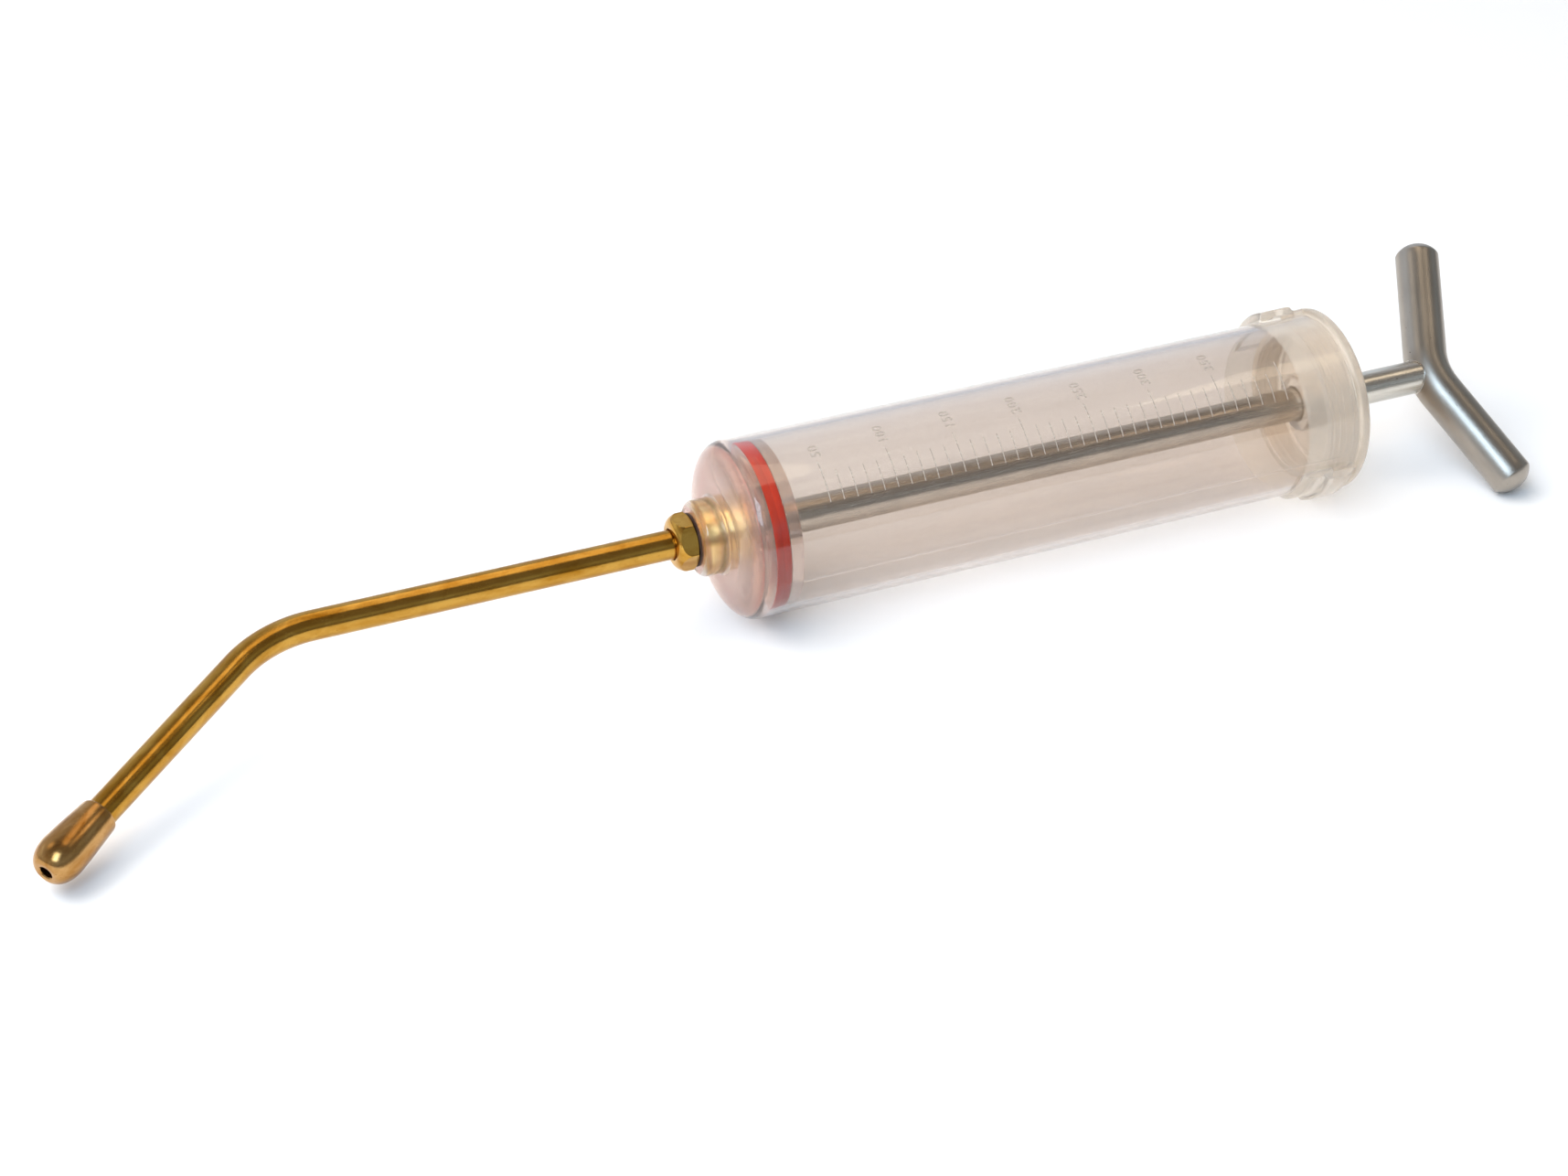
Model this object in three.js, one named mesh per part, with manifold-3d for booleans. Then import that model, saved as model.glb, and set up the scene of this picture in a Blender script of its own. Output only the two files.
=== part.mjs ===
// Dosing syringe with a bent brass nozzle, a clear graduated barrel, a red seal ring and a
// steel T handle. Millimetres, +Z up. The barrel axis lies along +X, towards the handle, and the
// syringe rests on a table: on its barrel, its nozzle tip and one arm of its handle.
import * as THREE from 'three';
import { mergeVertices } from 'three/addons/utils/BufferGeometryUtils.js';
import Module from 'manifold-3d';

const wasm = await Module();
wasm.setup();

// ---- Fits -------------------------------------------------------------------------------------
const FACE_GAP = 0.1; // between two faces that are clamped together
const RUNNING_CLEARANCE = 0.3; // radial, between pieces that turn or slide in each other
const SEAL_CLEARANCE = 0.15; // radial, between the seal ring and the bore

// ---- Barrel -----------------------------------------------------------------------------------
const BARREL_RADIUS = 28.5;
const BARREL_WALL = 2.1;
const BARREL_LENGTH = 213.6; // from the outer face of the front wall to the rear end
const FRONT_WALL = 2.7;
const SHOULDER_DEPTH = 8; // along the axis, the rounded shoulder behind the front wall
const FRONT_LAND = 4; // flat ring of the front wall, from the boss to the shoulder
const BOSS_WALL = 3.8; // around the spigot
const BOSS_LENGTH = 7.5;
const BOSS_EDGE = 2; // rounded rim of the boss
const BOSS_FILLET = 1.2; // at the root of the boss

// ---- Bayonet, two places half a turn apart ------------------------------------------------------
const BAYONET_COUNT = 2;
const BULGE_START = 19; // degrees about the axis, from +Y towards +Z
const BULGE_HEIGHT = 3.3; // out from the barrel
const BULGE_LENGTH = 15.4;
const BULGE_RAMP = 2.6;
const BULGE_SETBACK = 1.4; // from the rear end of the barrel
const POCKET_SIDE_WALL = 3.5; // degrees left at each side of a pocket
const POCKET_ROOF_WALL = 2.6;
const LUG_ANGLE = 16;
const LUG_LENGTH = 4.2;
const LUG_SIDE_CLEARANCE = 1.5; // degrees
const ENTRY_CLEARANCE = 3.5; // degrees, beside a lug that has been turned free
const LIP_LENGTH = 3.1; // holds a lug from behind
const CAP_TURN = 20; // degrees from locked to free

// ---- Spigot: the threaded brass insert in the boss -----------------------------------------------
const SPIGOT_WALL = 1.8; // around the stem of the gland nut
const SPIGOT_FLANGE_LIP = 2.5; // the flange beyond the body of the spigot
const SPIGOT_FLANGE = 2;
const SPIGOT_RECESS = 0.3;
const SPIGOT_BORE_RADIUS = 2.9;
const GASKET_THICKNESS = 0.6;
const PISTON_STOP_GAP = 0.8; // from the spigot to the piston when it is pushed right in

// ---- Gland nut and nozzle seals --------------------------------------------------------------
const NUT_ACROSS_FLATS = 16;
const NUT_HEIGHT = 6.6;
const NUT_FLAT_ANGLE = 30; // degrees about the axis to the middle of a flat
const NUT_NOSE_WALL = 0.5; // around the tube, at the front of the nose
const NUT_NOSE_LENGTH = 4.2;
const NUT_REAR_CHAMFER = 0.8;
const STEM_WALL = 0.9;
const STEM_LENGTH = 5;
const DUST_WASHER_THICKNESS = 0.6;
const DUST_WASHER_LIP = 0.5; // beyond the spigot
const NOZZLE_SEAL_THICKNESS = 1.2;
const COLLAR_THICKNESS = 2;

// ---- Nozzle ---------------------------------------------------------------------------------
const TUBE_RADIUS = 4.7;
const TUBE_WALL = 2;
const BEND_STANDOFF = 129; // from the nut to where the two straight runs would meet
const BEND_ANGLE = 37.8;
const BEND_DROOP = 19; // degrees below the horizontal, seen along the axis
const BEND_RADIUS = 42;
const BEND_STEPS = 12;
const NOZZLE_REACH = 104.1; // from the meeting point to the blunt end
const TIP_LENGTH = 24.6;
const TIP_WALL = 0.8; // around the tube, at the rear of the tip
const TIP_SWELL = 1.5; // the widest ring beyond the rear
const TIP_NOSE = 7.5; // from the blunt end to the widest ring
const TIP_SOCKET_DEPTH = 13;
const ORIFICE_RADIUS = 2.1;
const ORIFICE_RIM = 1; // flat ring around the orifice

// ---- Piston ---------------------------------------------------------------------------------
const DISC_RIM = 3.2;
const DISC_EDGE = 1;
const SEAL_WIDTH = 4.8;
const SEAL_DEPTH = 5.4; // radial section of the ring
const REAR_DISC = 4.4;
const THREAD_RADIUS = 4;
const PISTON_NUT_ACROSS_FLATS = 13;
const PISTON_NUT_HEIGHT = 4;
const PISTON_NUT_INSET = 0.5;
const PISTON_WASHER_THICKNESS = 1;
const PISTON_WASHER_LIP = 0.5; // beyond the corners of the nut
const RECESS_MARGIN = 0.8; // around the washer

// ---- Rod and handle ---------------------------------------------------------------------------
const ROD_RADIUS = 5.5;
const ROD_CHAMFER = 0.6;
const HANDLE_STANDOFF = 39; // from the cap to where the two arms would meet
const HANDLE_RADIUS = 7.3;
const HANDLE_ARM = 48.6; // from the meeting point to the end of an arm
const HANDLE_SWEEP = 19.1; // degrees that each arm leans back
const HANDLE_ROLL = 35.8; // degrees about the axis
const HANDLE_BEND_RADIUS = 22;
const HANDLE_BEND_STEPS = 8;
const HANDLE_END_DOME = 4.2;
const TENON_RADIUS = 3.5;
const TENON_LENGTH = 8;

// ---- Cap ------------------------------------------------------------------------------------
const CAP_OVERHANG = 1.7; // the flange beyond the barrel
const CAP_THICKNESS = 3.6;
const CAP_EDGE_DEPTH = 2.2;
const CAP_EDGE_HEIGHT = 3.2;
const CAP_PLUG_LENGTH = 9.9;
const CAP_PLUG_WALL = 3.2;
const CAP_HUB_WALL = 3.6; // around the rod
const CAP_HUB_LENGTH = 8.4;
const CAP_GROOVE_COUNT = 3;
const CAP_GROOVE_WIDTH = 0.9;
const CAP_GROOVE_DEPTH = 0.6;
const CAP_GROOVE_PITCH = 2.1;
const CAP_GROOVE_SETBACK = 0.35; // from the front edge of the plug

// ---- Facets ---------------------------------------------------------------------------------
const LARGE_SEGMENTS = 60;
const SMALL_SEGMENTS = 36;
const BAR_SEGMENTS = 24;
const CORNER_STEPS = 4;
const SECTOR_STEPS = 5;
const CUT_MARGIN = 1; // how far a cutter runs past what it cuts

// ---- Radii that follow from the pieces inside ----------------------------------------------------
const tubeClearRadius = TUBE_RADIUS + RUNNING_CLEARANCE;
const stemRadius = tubeClearRadius + STEM_WALL;
const stemClearRadius = stemRadius + RUNNING_CLEARANCE;
const spigotRadius = stemClearRadius + SPIGOT_WALL;
const spigotClearRadius = spigotRadius + RUNNING_CLEARANCE;
const spigotFlangeRadius = spigotRadius + SPIGOT_FLANGE_LIP;
const bossRadius = spigotClearRadius + BOSS_WALL;
const shoulderRadius = bossRadius + BOSS_FILLET + FRONT_LAND;
const boreRadius = BARREL_RADIUS - BARREL_WALL;
const shoulderHeight = BARREL_RADIUS - shoulderRadius;

// ---- Places along the axis, from the zero mark -------------------------------------------------
const wallInnerX = -(GASKET_THICKNESS + SPIGOT_FLANGE + 2 * FACE_GAP + PISTON_STOP_GAP);
const wallOuterX = wallInnerX - FRONT_WALL;
const bossFaceX = wallOuterX - BOSS_LENGTH;
const shoulderX = wallOuterX + SHOULDER_DEPTH;
const boreX = -RUNNING_CLEARANCE; // the bore is full ahead of the piston, when it is pushed in
const barrelEndX = wallOuterX + BARREL_LENGTH;

const nutRearX = bossFaceX - 2 * FACE_GAP - DUST_WASHER_THICKNESS;
const nutFrontX = nutRearX - NUT_HEIGHT;
const bendX = nutFrontX - BEND_STANDOFF;
const stemEndX = nutRearX + STEM_LENGTH;
const collarX = stemEndX + FACE_GAP;
const tubeEndX = collarX + COLLAR_THICKNESS;
const nozzleSealX = tubeEndX + FACE_GAP;
const seatX = nozzleSealX + NOZZLE_SEAL_THICKNESS + FACE_GAP;

const sealX = DISC_RIM + FACE_GAP;
const sealEndX = sealX + SEAL_WIDTH;
const rearDiscX = sealEndX + FACE_GAP;
const rodShoulderX = rearDiscX + REAR_DISC + FACE_GAP;
const recessFloorX = PISTON_NUT_INSET + PISTON_NUT_HEIGHT + PISTON_WASHER_THICKNESS + 2 * FACE_GAP;

const capFaceX = barrelEndX + RUNNING_CLEARANCE;
const capRearX = capFaceX + CAP_THICKNESS;
const handleX = capRearX + HANDLE_STANDOFF;
const plugX = capFaceX - CAP_PLUG_LENGTH;
const lugEndX = barrelEndX - LIP_LENGTH - RUNNING_CLEARANCE;
const lugX = lugEndX - LUG_LENGTH;

// ---- Shape helpers ----------------------------------------------------------------------------
const degrees = THREE.MathUtils.degToRad;

// A closed profile of [x, radius] points, turned about the X axis.
function turned(profile, segments) {
  const points = profile.map(([x, radius]) => new THREE.Vector2(radius, x));
  const geometry = new THREE.LatheGeometry(points, segments);
  return geometry.rotateZ(-Math.PI / 2);
}

// A ring or tube between two radii and two places along the axis.
function ring(x0, x1, innerRadius, outerRadius, segments) {
  const profile = [
    [x0, innerRadius], [x0, outerRadius], [x1, outerRadius], [x1, innerRadius], [x0, innerRadius],
  ];
  return turned(profile, segments);
}

function rod(x0, x1, radius, segments) {
  return turned([[x0, 0], [x0, radius], [x1, radius], [x1, 0]], segments);
}

// Points on a quarter ellipse about (x, radius), from one angle to another in degrees, where 0
// points along +X and 90 points away from the axis.
function corner(x, radius, depth, height, fromAngle, toAngle) {
  const points = [];
  for (let step = 0; step <= CORNER_STEPS; step += 1) {
    const angle = degrees(fromAngle + (toAngle - fromAngle) * step / CORNER_STEPS);
    points.push([x + depth * Math.cos(angle), radius + height * Math.sin(angle)]);
  }
  return points;
}

// A flat shape in the YZ plane, extruded from x0 to x1.
function extrudedAlongAxis(shape, x0, x1, curveSegments) {
  const options = { depth: x1 - x0, bevelEnabled: false, curveSegments };
  const geometry = new THREE.ExtrudeGeometry(shape, options);
  const basis = new THREE.Matrix4().makeBasis(
    new THREE.Vector3(0, 1, 0),
    new THREE.Vector3(0, 0, 1),
    new THREE.Vector3(1, 0, 0),
  );
  return geometry.applyMatrix4(basis).translate(x0, 0, 0);
}

// Part of a ring, from the first to the last of these angles in degrees about the axis. Each span
// between two angles has its own facets, so that sectors with a span in common meet on them.
function sector(x0, x1, innerRadius, outerRadius, angles) {
  const turns = [angles[0]];
  for (let span = 1; span < angles.length; span += 1) {
    for (let step = 1; step <= SECTOR_STEPS; step += 1) {
      turns.push(THREE.MathUtils.lerp(angles[span - 1], angles[span], step / SECTOR_STEPS));
    }
  }
  const onArc = (radius) => (turn) => new THREE.Vector2(
    radius * Math.cos(degrees(turn)), radius * Math.sin(degrees(turn)),
  );
  const outer = turns.map(onArc(outerRadius));
  const inner = turns.map(onArc(innerRadius)).reverse();
  return extrudedAlongAxis(new THREE.Shape([...outer, ...inner]), x0, x1, 1);
}

function hexagon(x0, x1, acrossFlats, flatAngle) {
  const shape = new THREE.Shape();
  const cornerRadius = acrossFlats / 2 / Math.cos(Math.PI / 6);
  for (let side = 0; side < 6; side += 1) {
    const angle = degrees(flatAngle + 30 + 60 * side);
    const y = cornerRadius * Math.cos(angle);
    const z = cornerRadius * Math.sin(angle);
    if (side === 0) {
      shape.moveTo(y, z);
    } else {
      shape.lineTo(y, z);
    }
  }
  shape.closePath();
  return extrudedAlongAxis(shape, x0, x1, 1);
}

function solid(geometry) {
  const bare = geometry.clone();
  bare.deleteAttribute('normal');
  bare.deleteAttribute('uv');
  const merged = mergeVertices(bare);
  const corners = merged.index.array;
  const kept = [];
  for (let i = 0; i < corners.length; i += 3) {
    const [a, b, c] = corners.subarray(i, i + 3);
    if (a !== b && b !== c && c !== a) {
      kept.push(a, b, c);
    }
  }
  const vertProperties = new Float32Array(merged.attributes.position.array);
  const triVerts = new Uint32Array(kept);
  return new wasm.Manifold(new wasm.Mesh({ numProp: 3, vertProperties, triVerts }));
}

function geometryOf(manifold) {
  const mesh = manifold.getMesh();
  const geometry = new THREE.BufferGeometry();
  const positions = new THREE.BufferAttribute(new Float32Array(mesh.vertProperties), 3);
  geometry.setAttribute('position', positions);
  geometry.setIndex(new THREE.BufferAttribute(new Uint32Array(mesh.triVerts), 1));
  return geometry;
}

// A straight run, a bend and a straight run in one plane. The bend takes all the steps but two,
// so that a sweep along this curve spends its sections where the curve turns.
class BentPath extends THREE.Curve {
  constructor(start, meeting, end, bendRadius, bendSteps) {
    super();
    const into = meeting.clone().sub(start).normalize();
    const out = end.clone().sub(meeting).normalize();
    const turn = into.angleTo(out);
    const setback = bendRadius * Math.tan(turn / 2);
    this.start = start;
    this.end = end;
    this.turn = turn;
    this.bendRadius = bendRadius;
    this.into = into;
    this.bendStart = meeting.clone().addScaledVector(into, -setback);
    this.bendEnd = meeting.clone().addScaledVector(out, setback);
    this.inward = out.clone().addScaledVector(into, -out.dot(into)).normalize();
    this.steps = bendSteps + 2;
    this.bendFrom = 1 / this.steps;
    this.bendTo = 1 - this.bendFrom;
  }

  getPoint(t, target = new THREE.Vector3()) {
    if (t <= this.bendFrom) {
      return target.lerpVectors(this.start, this.bendStart, t / this.bendFrom);
    }
    if (t >= this.bendTo) {
      return target.lerpVectors(this.bendEnd, this.end, (t - this.bendTo) / this.bendFrom);
    }
    const angle = this.turn * (t - this.bendFrom) / (this.bendTo - this.bendFrom);
    return target
      .copy(this.bendStart)
      .addScaledVector(this.into, this.bendRadius * Math.sin(angle))
      .addScaledVector(this.inward, this.bendRadius * (1 - Math.cos(angle)));
  }

  getUtoTmapping(u) {
    return u;
  }
}

function sweptAlong(path, radius, innerRadius) {
  const shape = new THREE.Shape();
  shape.absarc(0, 0, radius, 0, 2 * Math.PI, false);
  if (innerRadius > 0) {
    const hole = new THREE.Path();
    hole.absarc(0, 0, innerRadius, 0, 2 * Math.PI, true);
    shape.holes.push(hole);
  }
  const options = {
    steps: path.steps,
    extrudePath: path,
    bevelEnabled: false,
    curveSegments: BAR_SEGMENTS / 2,
  };
  return new THREE.ExtrudeGeometry(shape, options);
}

// ---- Scene graph ------------------------------------------------------------------------------
const syringe = new THREE.Group();

function addMesh(parent, name, geometry, color, roughness, metalness, opacity = 1) {
  const material = new THREE.MeshStandardMaterial({
    name,
    color,
    roughness,
    metalness,
    opacity,
    transparent: opacity < 1,
  });
  const mesh = new THREE.Mesh(geometry, material);
  mesh.name = name;
  parent.add(mesh);
  return mesh;
}

const CLEAR_PLASTIC = 0xddd6d0;
const CAP_PLASTIC = 0xd9cdb4;
const BRASS = 0xb88a2e;
const STEEL = 0x9a9a9c;
const SEAL_RED = 0xb8260c;
const DARK_RUBBER = 0x2a1a10;
const FIBRE = 0x6b3a22;

// ---- Barrel -----------------------------------------------------------------------------------
const barrelProfile = [
  [bossFaceX, spigotClearRadius],
  ...corner(bossFaceX + BOSS_EDGE, bossRadius - BOSS_EDGE, BOSS_EDGE, BOSS_EDGE, 180, 90),
  ...corner(
    wallOuterX - BOSS_FILLET, bossRadius + BOSS_FILLET, BOSS_FILLET, BOSS_FILLET, 270, 360,
  ),
  ...corner(shoulderX, shoulderRadius, SHOULDER_DEPTH, shoulderHeight, 180, 90),
  [barrelEndX, BARREL_RADIUS],
  [barrelEndX, boreRadius],
  ...corner(boreX, shoulderRadius, boreX - wallInnerX, boreRadius - shoulderRadius, 90, 180),
  [wallInnerX, spigotClearRadius],
  [bossFaceX, spigotClearRadius],
];

// Angles from the start of a bulge.
const lockedStart = POCKET_SIDE_WALL + ENTRY_CLEARANCE + CAP_TURN;
const lockedEnd = lockedStart + LUG_ANGLE;
const pocketEnd = lockedEnd + LUG_SIDE_CLEARANCE;
const bulgeAngle = pocketEnd + POCKET_SIDE_WALL;
const entryEnd = lockedEnd - CAP_TURN + LUG_SIDE_CLEARANCE;

const bulgeRadius = BARREL_RADIUS + BULGE_HEIGHT;
const bulgeEndX = barrelEndX - BULGE_SETBACK;
const bulgeX = bulgeEndX - BULGE_LENGTH;
const bulgeRoot = boreRadius + BARREL_WALL / 2;
const bulgeProfile = [
  [bulgeX, bulgeRoot],
  [bulgeX, BARREL_RADIUS],
  [bulgeX + BULGE_RAMP, bulgeRadius],
  [bulgeEndX - BULGE_SETBACK, bulgeRadius],
  [bulgeEndX, bulgeRadius - BULGE_SETBACK],
  [bulgeEndX, bulgeRoot],
  [bulgeX, bulgeRoot],
];
const bulgeRing = solid(turned(bulgeProfile, LARGE_SEGMENTS));
const pocketRadius = bulgeRadius - POCKET_ROOF_WALL;
const lugRadius = pocketRadius - RUNNING_CLEARANCE;

let barrel = solid(turned(barrelProfile, LARGE_SEGMENTS));
for (let place = 0; place < BAYONET_COUNT; place += 1) {
  const from = BULGE_START + place * 360 / BAYONET_COUNT;
  const wedge = sector(
    bulgeX - CUT_MARGIN, bulgeEndX + CUT_MARGIN, boreRadius, bulgeRadius + CUT_MARGIN,
    [from, from + bulgeAngle],
  );
  barrel = barrel.add(bulgeRing.intersect(solid(wedge)));
}
for (let place = 0; place < BAYONET_COUNT; place += 1) {
  const from = BULGE_START + place * 360 / BAYONET_COUNT;
  const pocketFrom = from + POCKET_SIDE_WALL;
  const innerRadius = boreRadius - CUT_MARGIN;
  const entryTo = from + entryEnd;
  const pocket = sector(
    lugX - RUNNING_CLEARANCE, lugEndX + RUNNING_CLEARANCE, innerRadius, pocketRadius,
    [pocketFrom, entryTo, from + pocketEnd],
  );
  const entry = sector(
    lugEndX + RUNNING_CLEARANCE, barrelEndX + CUT_MARGIN, innerRadius, pocketRadius,
    [pocketFrom, entryTo],
  );
  barrel = barrel.subtract(solid(pocket).add(solid(entry)));
}
addMesh(syringe, 'barrel', geometryOf(barrel), CLEAR_PLASTIC, 0.12, 0, 0.3);

// ---- Spigot and its gasket --------------------------------------------------------------------
const flangeX = wallInnerX + 2 * FACE_GAP + GASKET_THICKNESS;
const spigotFrontX = bossFaceX + SPIGOT_RECESS;
const spigotProfile = [
  [spigotFrontX, stemClearRadius],
  [spigotFrontX, spigotRadius],
  [flangeX, spigotRadius],
  [flangeX, spigotFlangeRadius],
  [flangeX + SPIGOT_FLANGE, spigotFlangeRadius],
  [flangeX + SPIGOT_FLANGE, SPIGOT_BORE_RADIUS],
  [seatX, SPIGOT_BORE_RADIUS],
  [seatX, stemClearRadius],
  [spigotFrontX, stemClearRadius],
];
addMesh(syringe, 'spigot', turned(spigotProfile, SMALL_SEGMENTS), BRASS, 0.25, 1);

const gasket = ring(
  wallInnerX + FACE_GAP, wallInnerX + FACE_GAP + GASKET_THICKNESS,
  spigotClearRadius, spigotFlangeRadius, SMALL_SEGMENTS,
);
addMesh(syringe, 'spigot_gasket', gasket, FIBRE, 0.8, 0);

// ---- Gland nut --------------------------------------------------------------------------------
const nutCornerRadius = NUT_ACROSS_FLATS / 2 / Math.cos(Math.PI / 6);
const noseX = nutFrontX + NUT_NOSE_LENGTH;
const noseRadius = tubeClearRadius + NUT_NOSE_WALL;
const nutEnvelope = [
  [nutFrontX, 0],
  ...corner(noseX, noseRadius, NUT_NOSE_LENGTH, nutCornerRadius - noseRadius, 180, 90),
  [nutRearX - NUT_REAR_CHAMFER, nutCornerRadius],
  [nutRearX, nutCornerRadius - 2 * NUT_REAR_CHAMFER],
  [nutRearX, 0],
];
const nutHead = solid(hexagon(nutFrontX, nutRearX, NUT_ACROSS_FLATS, NUT_FLAT_ANGLE))
  .intersect(solid(turned(nutEnvelope, SMALL_SEGMENTS)));
const nutStem = solid(rod(nutRearX - CUT_MARGIN, stemEndX, stemRadius, SMALL_SEGMENTS));
const nutBore = solid(
  rod(nutFrontX - CUT_MARGIN, stemEndX + CUT_MARGIN, tubeClearRadius, SMALL_SEGMENTS),
);
const glandNut = nutHead.add(nutStem).subtract(nutBore);
addMesh(syringe, 'gland_nut', geometryOf(glandNut), BRASS, 0.2, 1);

const dustWasher = ring(
  bossFaceX - FACE_GAP - DUST_WASHER_THICKNESS, bossFaceX - FACE_GAP,
  stemClearRadius, spigotRadius + DUST_WASHER_LIP, SMALL_SEGMENTS,
);
addMesh(syringe, 'dust_washer', dustWasher, DARK_RUBBER, 0.7, 0);

// ---- Nozzle: collar, seal, bent tube and blunt tip -----------------------------------------------
const collar = ring(
  collarX, tubeEndX, TUBE_RADIUS + FACE_GAP, stemRadius, SMALL_SEGMENTS,
);
addMesh(syringe, 'tube_collar', collar, BRASS, 0.3, 1);

const nozzleSeal = ring(
  nozzleSealX, nozzleSealX + NOZZLE_SEAL_THICKNESS, SPIGOT_BORE_RADIUS, stemRadius,
  SMALL_SEGMENTS,
);
addMesh(syringe, 'nozzle_seal', nozzleSeal, DARK_RUBBER, 0.7, 0);

const meeting = new THREE.Vector3(bendX, 0, 0);
const bend = degrees(BEND_ANGLE);
const droop = degrees(BEND_DROOP);
const outward = new THREE.Vector3(
  -Math.cos(bend),
  -Math.sin(bend) * Math.cos(droop),
  -Math.sin(bend) * Math.sin(droop),
);
const bluntEnd = meeting.clone().addScaledVector(outward, NOZZLE_REACH);
const tubeEnd = bluntEnd.clone().addScaledVector(outward, TIP_SOCKET_DEPTH - TIP_LENGTH);
const tubePath = new BentPath(
  new THREE.Vector3(tubeEndX, 0, 0), meeting, tubeEnd, BEND_RADIUS, BEND_STEPS,
);
const nozzleTube = sweptAlong(tubePath, TUBE_RADIUS, TUBE_RADIUS - TUBE_WALL);
addMesh(syringe, 'nozzle_tube', nozzleTube, BRASS, 0.18, 1);

// The tip is turned about its own X axis, with the blunt end at the origin and the tube behind.
const tipHolder = new THREE.Group();
tipHolder.position.copy(bluntEnd);
tipHolder.quaternion.setFromUnitVectors(new THREE.Vector3(-1, 0, 0), outward);
syringe.add(tipHolder);
const socketFloorX = TIP_LENGTH - TIP_SOCKET_DEPTH - RUNNING_CLEARANCE;
const tipFaceRadius = ORIFICE_RADIUS + ORIFICE_RIM;
const tipRearRadius = tubeClearRadius + TIP_WALL;
const tipRadius = tipRearRadius + TIP_SWELL;
const tipProfile = [
  [0, ORIFICE_RADIUS],
  ...corner(TIP_NOSE, tipFaceRadius, TIP_NOSE, tipRadius - tipFaceRadius, 180, 90),
  [TIP_LENGTH, tipRearRadius],
  [TIP_LENGTH, tubeClearRadius],
  [socketFloorX, tubeClearRadius],
  [socketFloorX, ORIFICE_RADIUS],
  [0, ORIFICE_RADIUS],
];
addMesh(tipHolder, 'nozzle_tip', turned(tipProfile, SMALL_SEGMENTS), BRASS, 0.25, 1);

// ---- Piston -----------------------------------------------------------------------------------
const discRadius = boreRadius - RUNNING_CLEARANCE;
const sealInnerRadius = boreRadius - SEAL_CLEARANCE - SEAL_DEPTH;
const discHubRadius = sealInnerRadius - RUNNING_CLEARANCE;
const discHoleRadius = THREAD_RADIUS + RUNNING_CLEARANCE;
const pistonNutCornerRadius = PISTON_NUT_ACROSS_FLATS / 2 / Math.cos(Math.PI / 6);
const pistonWasherRadius = pistonNutCornerRadius + PISTON_WASHER_LIP;
const recessRadius = pistonWasherRadius + RECESS_MARGIN;
const frontDiscProfile = [
  [0, recessRadius],
  ...corner(DISC_EDGE, discRadius - DISC_EDGE, DISC_EDGE, DISC_EDGE, 180, 90),
  [DISC_RIM, discRadius],
  [DISC_RIM, discHubRadius],
  [sealEndX, discHubRadius],
  [sealEndX, discHoleRadius],
  [recessFloorX, discHoleRadius],
  [recessFloorX, recessRadius],
  [0, recessRadius],
];
addMesh(
  syringe, 'front_disc', turned(frontDiscProfile, LARGE_SEGMENTS), CLEAR_PLASTIC, 0.12, 0, 0.4,
);

const seal = ring(
  sealX, sealEndX, sealInnerRadius, boreRadius - SEAL_CLEARANCE, LARGE_SEGMENTS,
);
addMesh(syringe, 'seal_ring', seal, SEAL_RED, 0.5, 0);

const rearDiscEndX = rearDiscX + REAR_DISC;
const rearDiscProfile = [
  [rearDiscX, discHoleRadius],
  [rearDiscX, discRadius],
  ...corner(
    rearDiscEndX - DISC_EDGE, discRadius - DISC_EDGE, DISC_EDGE, DISC_EDGE, 90, 0,
  ),
  [rearDiscEndX, discHoleRadius],
  [rearDiscX, discHoleRadius],
];
addMesh(
  syringe, 'rear_disc', turned(rearDiscProfile, LARGE_SEGMENTS), CLEAR_PLASTIC, 0.12, 0, 0.4,
);

const washerX = recessFloorX - FACE_GAP - PISTON_WASHER_THICKNESS;
const pistonWasher = ring(
  washerX, washerX + PISTON_WASHER_THICKNESS, discHoleRadius, pistonWasherRadius,
  SMALL_SEGMENTS,
);
addMesh(syringe, 'piston_washer', pistonWasher, STEEL, 0.3, 1);

const pistonNutEndX = PISTON_NUT_INSET + PISTON_NUT_HEIGHT;
const pistonNutBore = rod(
  PISTON_NUT_INSET - CUT_MARGIN, pistonNutEndX + CUT_MARGIN, discHoleRadius, SMALL_SEGMENTS,
);
const pistonNut = solid(hexagon(PISTON_NUT_INSET, pistonNutEndX, PISTON_NUT_ACROSS_FLATS, 0))
  .subtract(solid(pistonNutBore));
addMesh(syringe, 'piston_nut', geometryOf(pistonNut), STEEL, 0.3, 1);

// ---- Handle and rod -----------------------------------------------------------------------------
const handleHolder = new THREE.Group();
handleHolder.position.set(handleX, 0, 0);
handleHolder.rotation.x = degrees(HANDLE_ROLL);
syringe.add(handleHolder);

// In the holder's frame the arms lie in the XY plane and lean back towards +X.
const sweep = degrees(HANDLE_SWEEP);
const armDirections = [1, -1].map(
  (side) => new THREE.Vector3(Math.sin(sweep), side * Math.cos(sweep), 0),
);
const armEnds = armDirections.map((direction) => direction.clone().multiplyScalar(HANDLE_ARM));
const barPath = new BentPath(
  armEnds[0], new THREE.Vector3(), armEnds[1], HANDLE_BEND_RADIUS, HANDLE_BEND_STEPS,
);
// The bend pulls the bar back from the meeting point by this much.
const barX = HANDLE_BEND_RADIUS * (1 / Math.cos(sweep) - 1);

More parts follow.
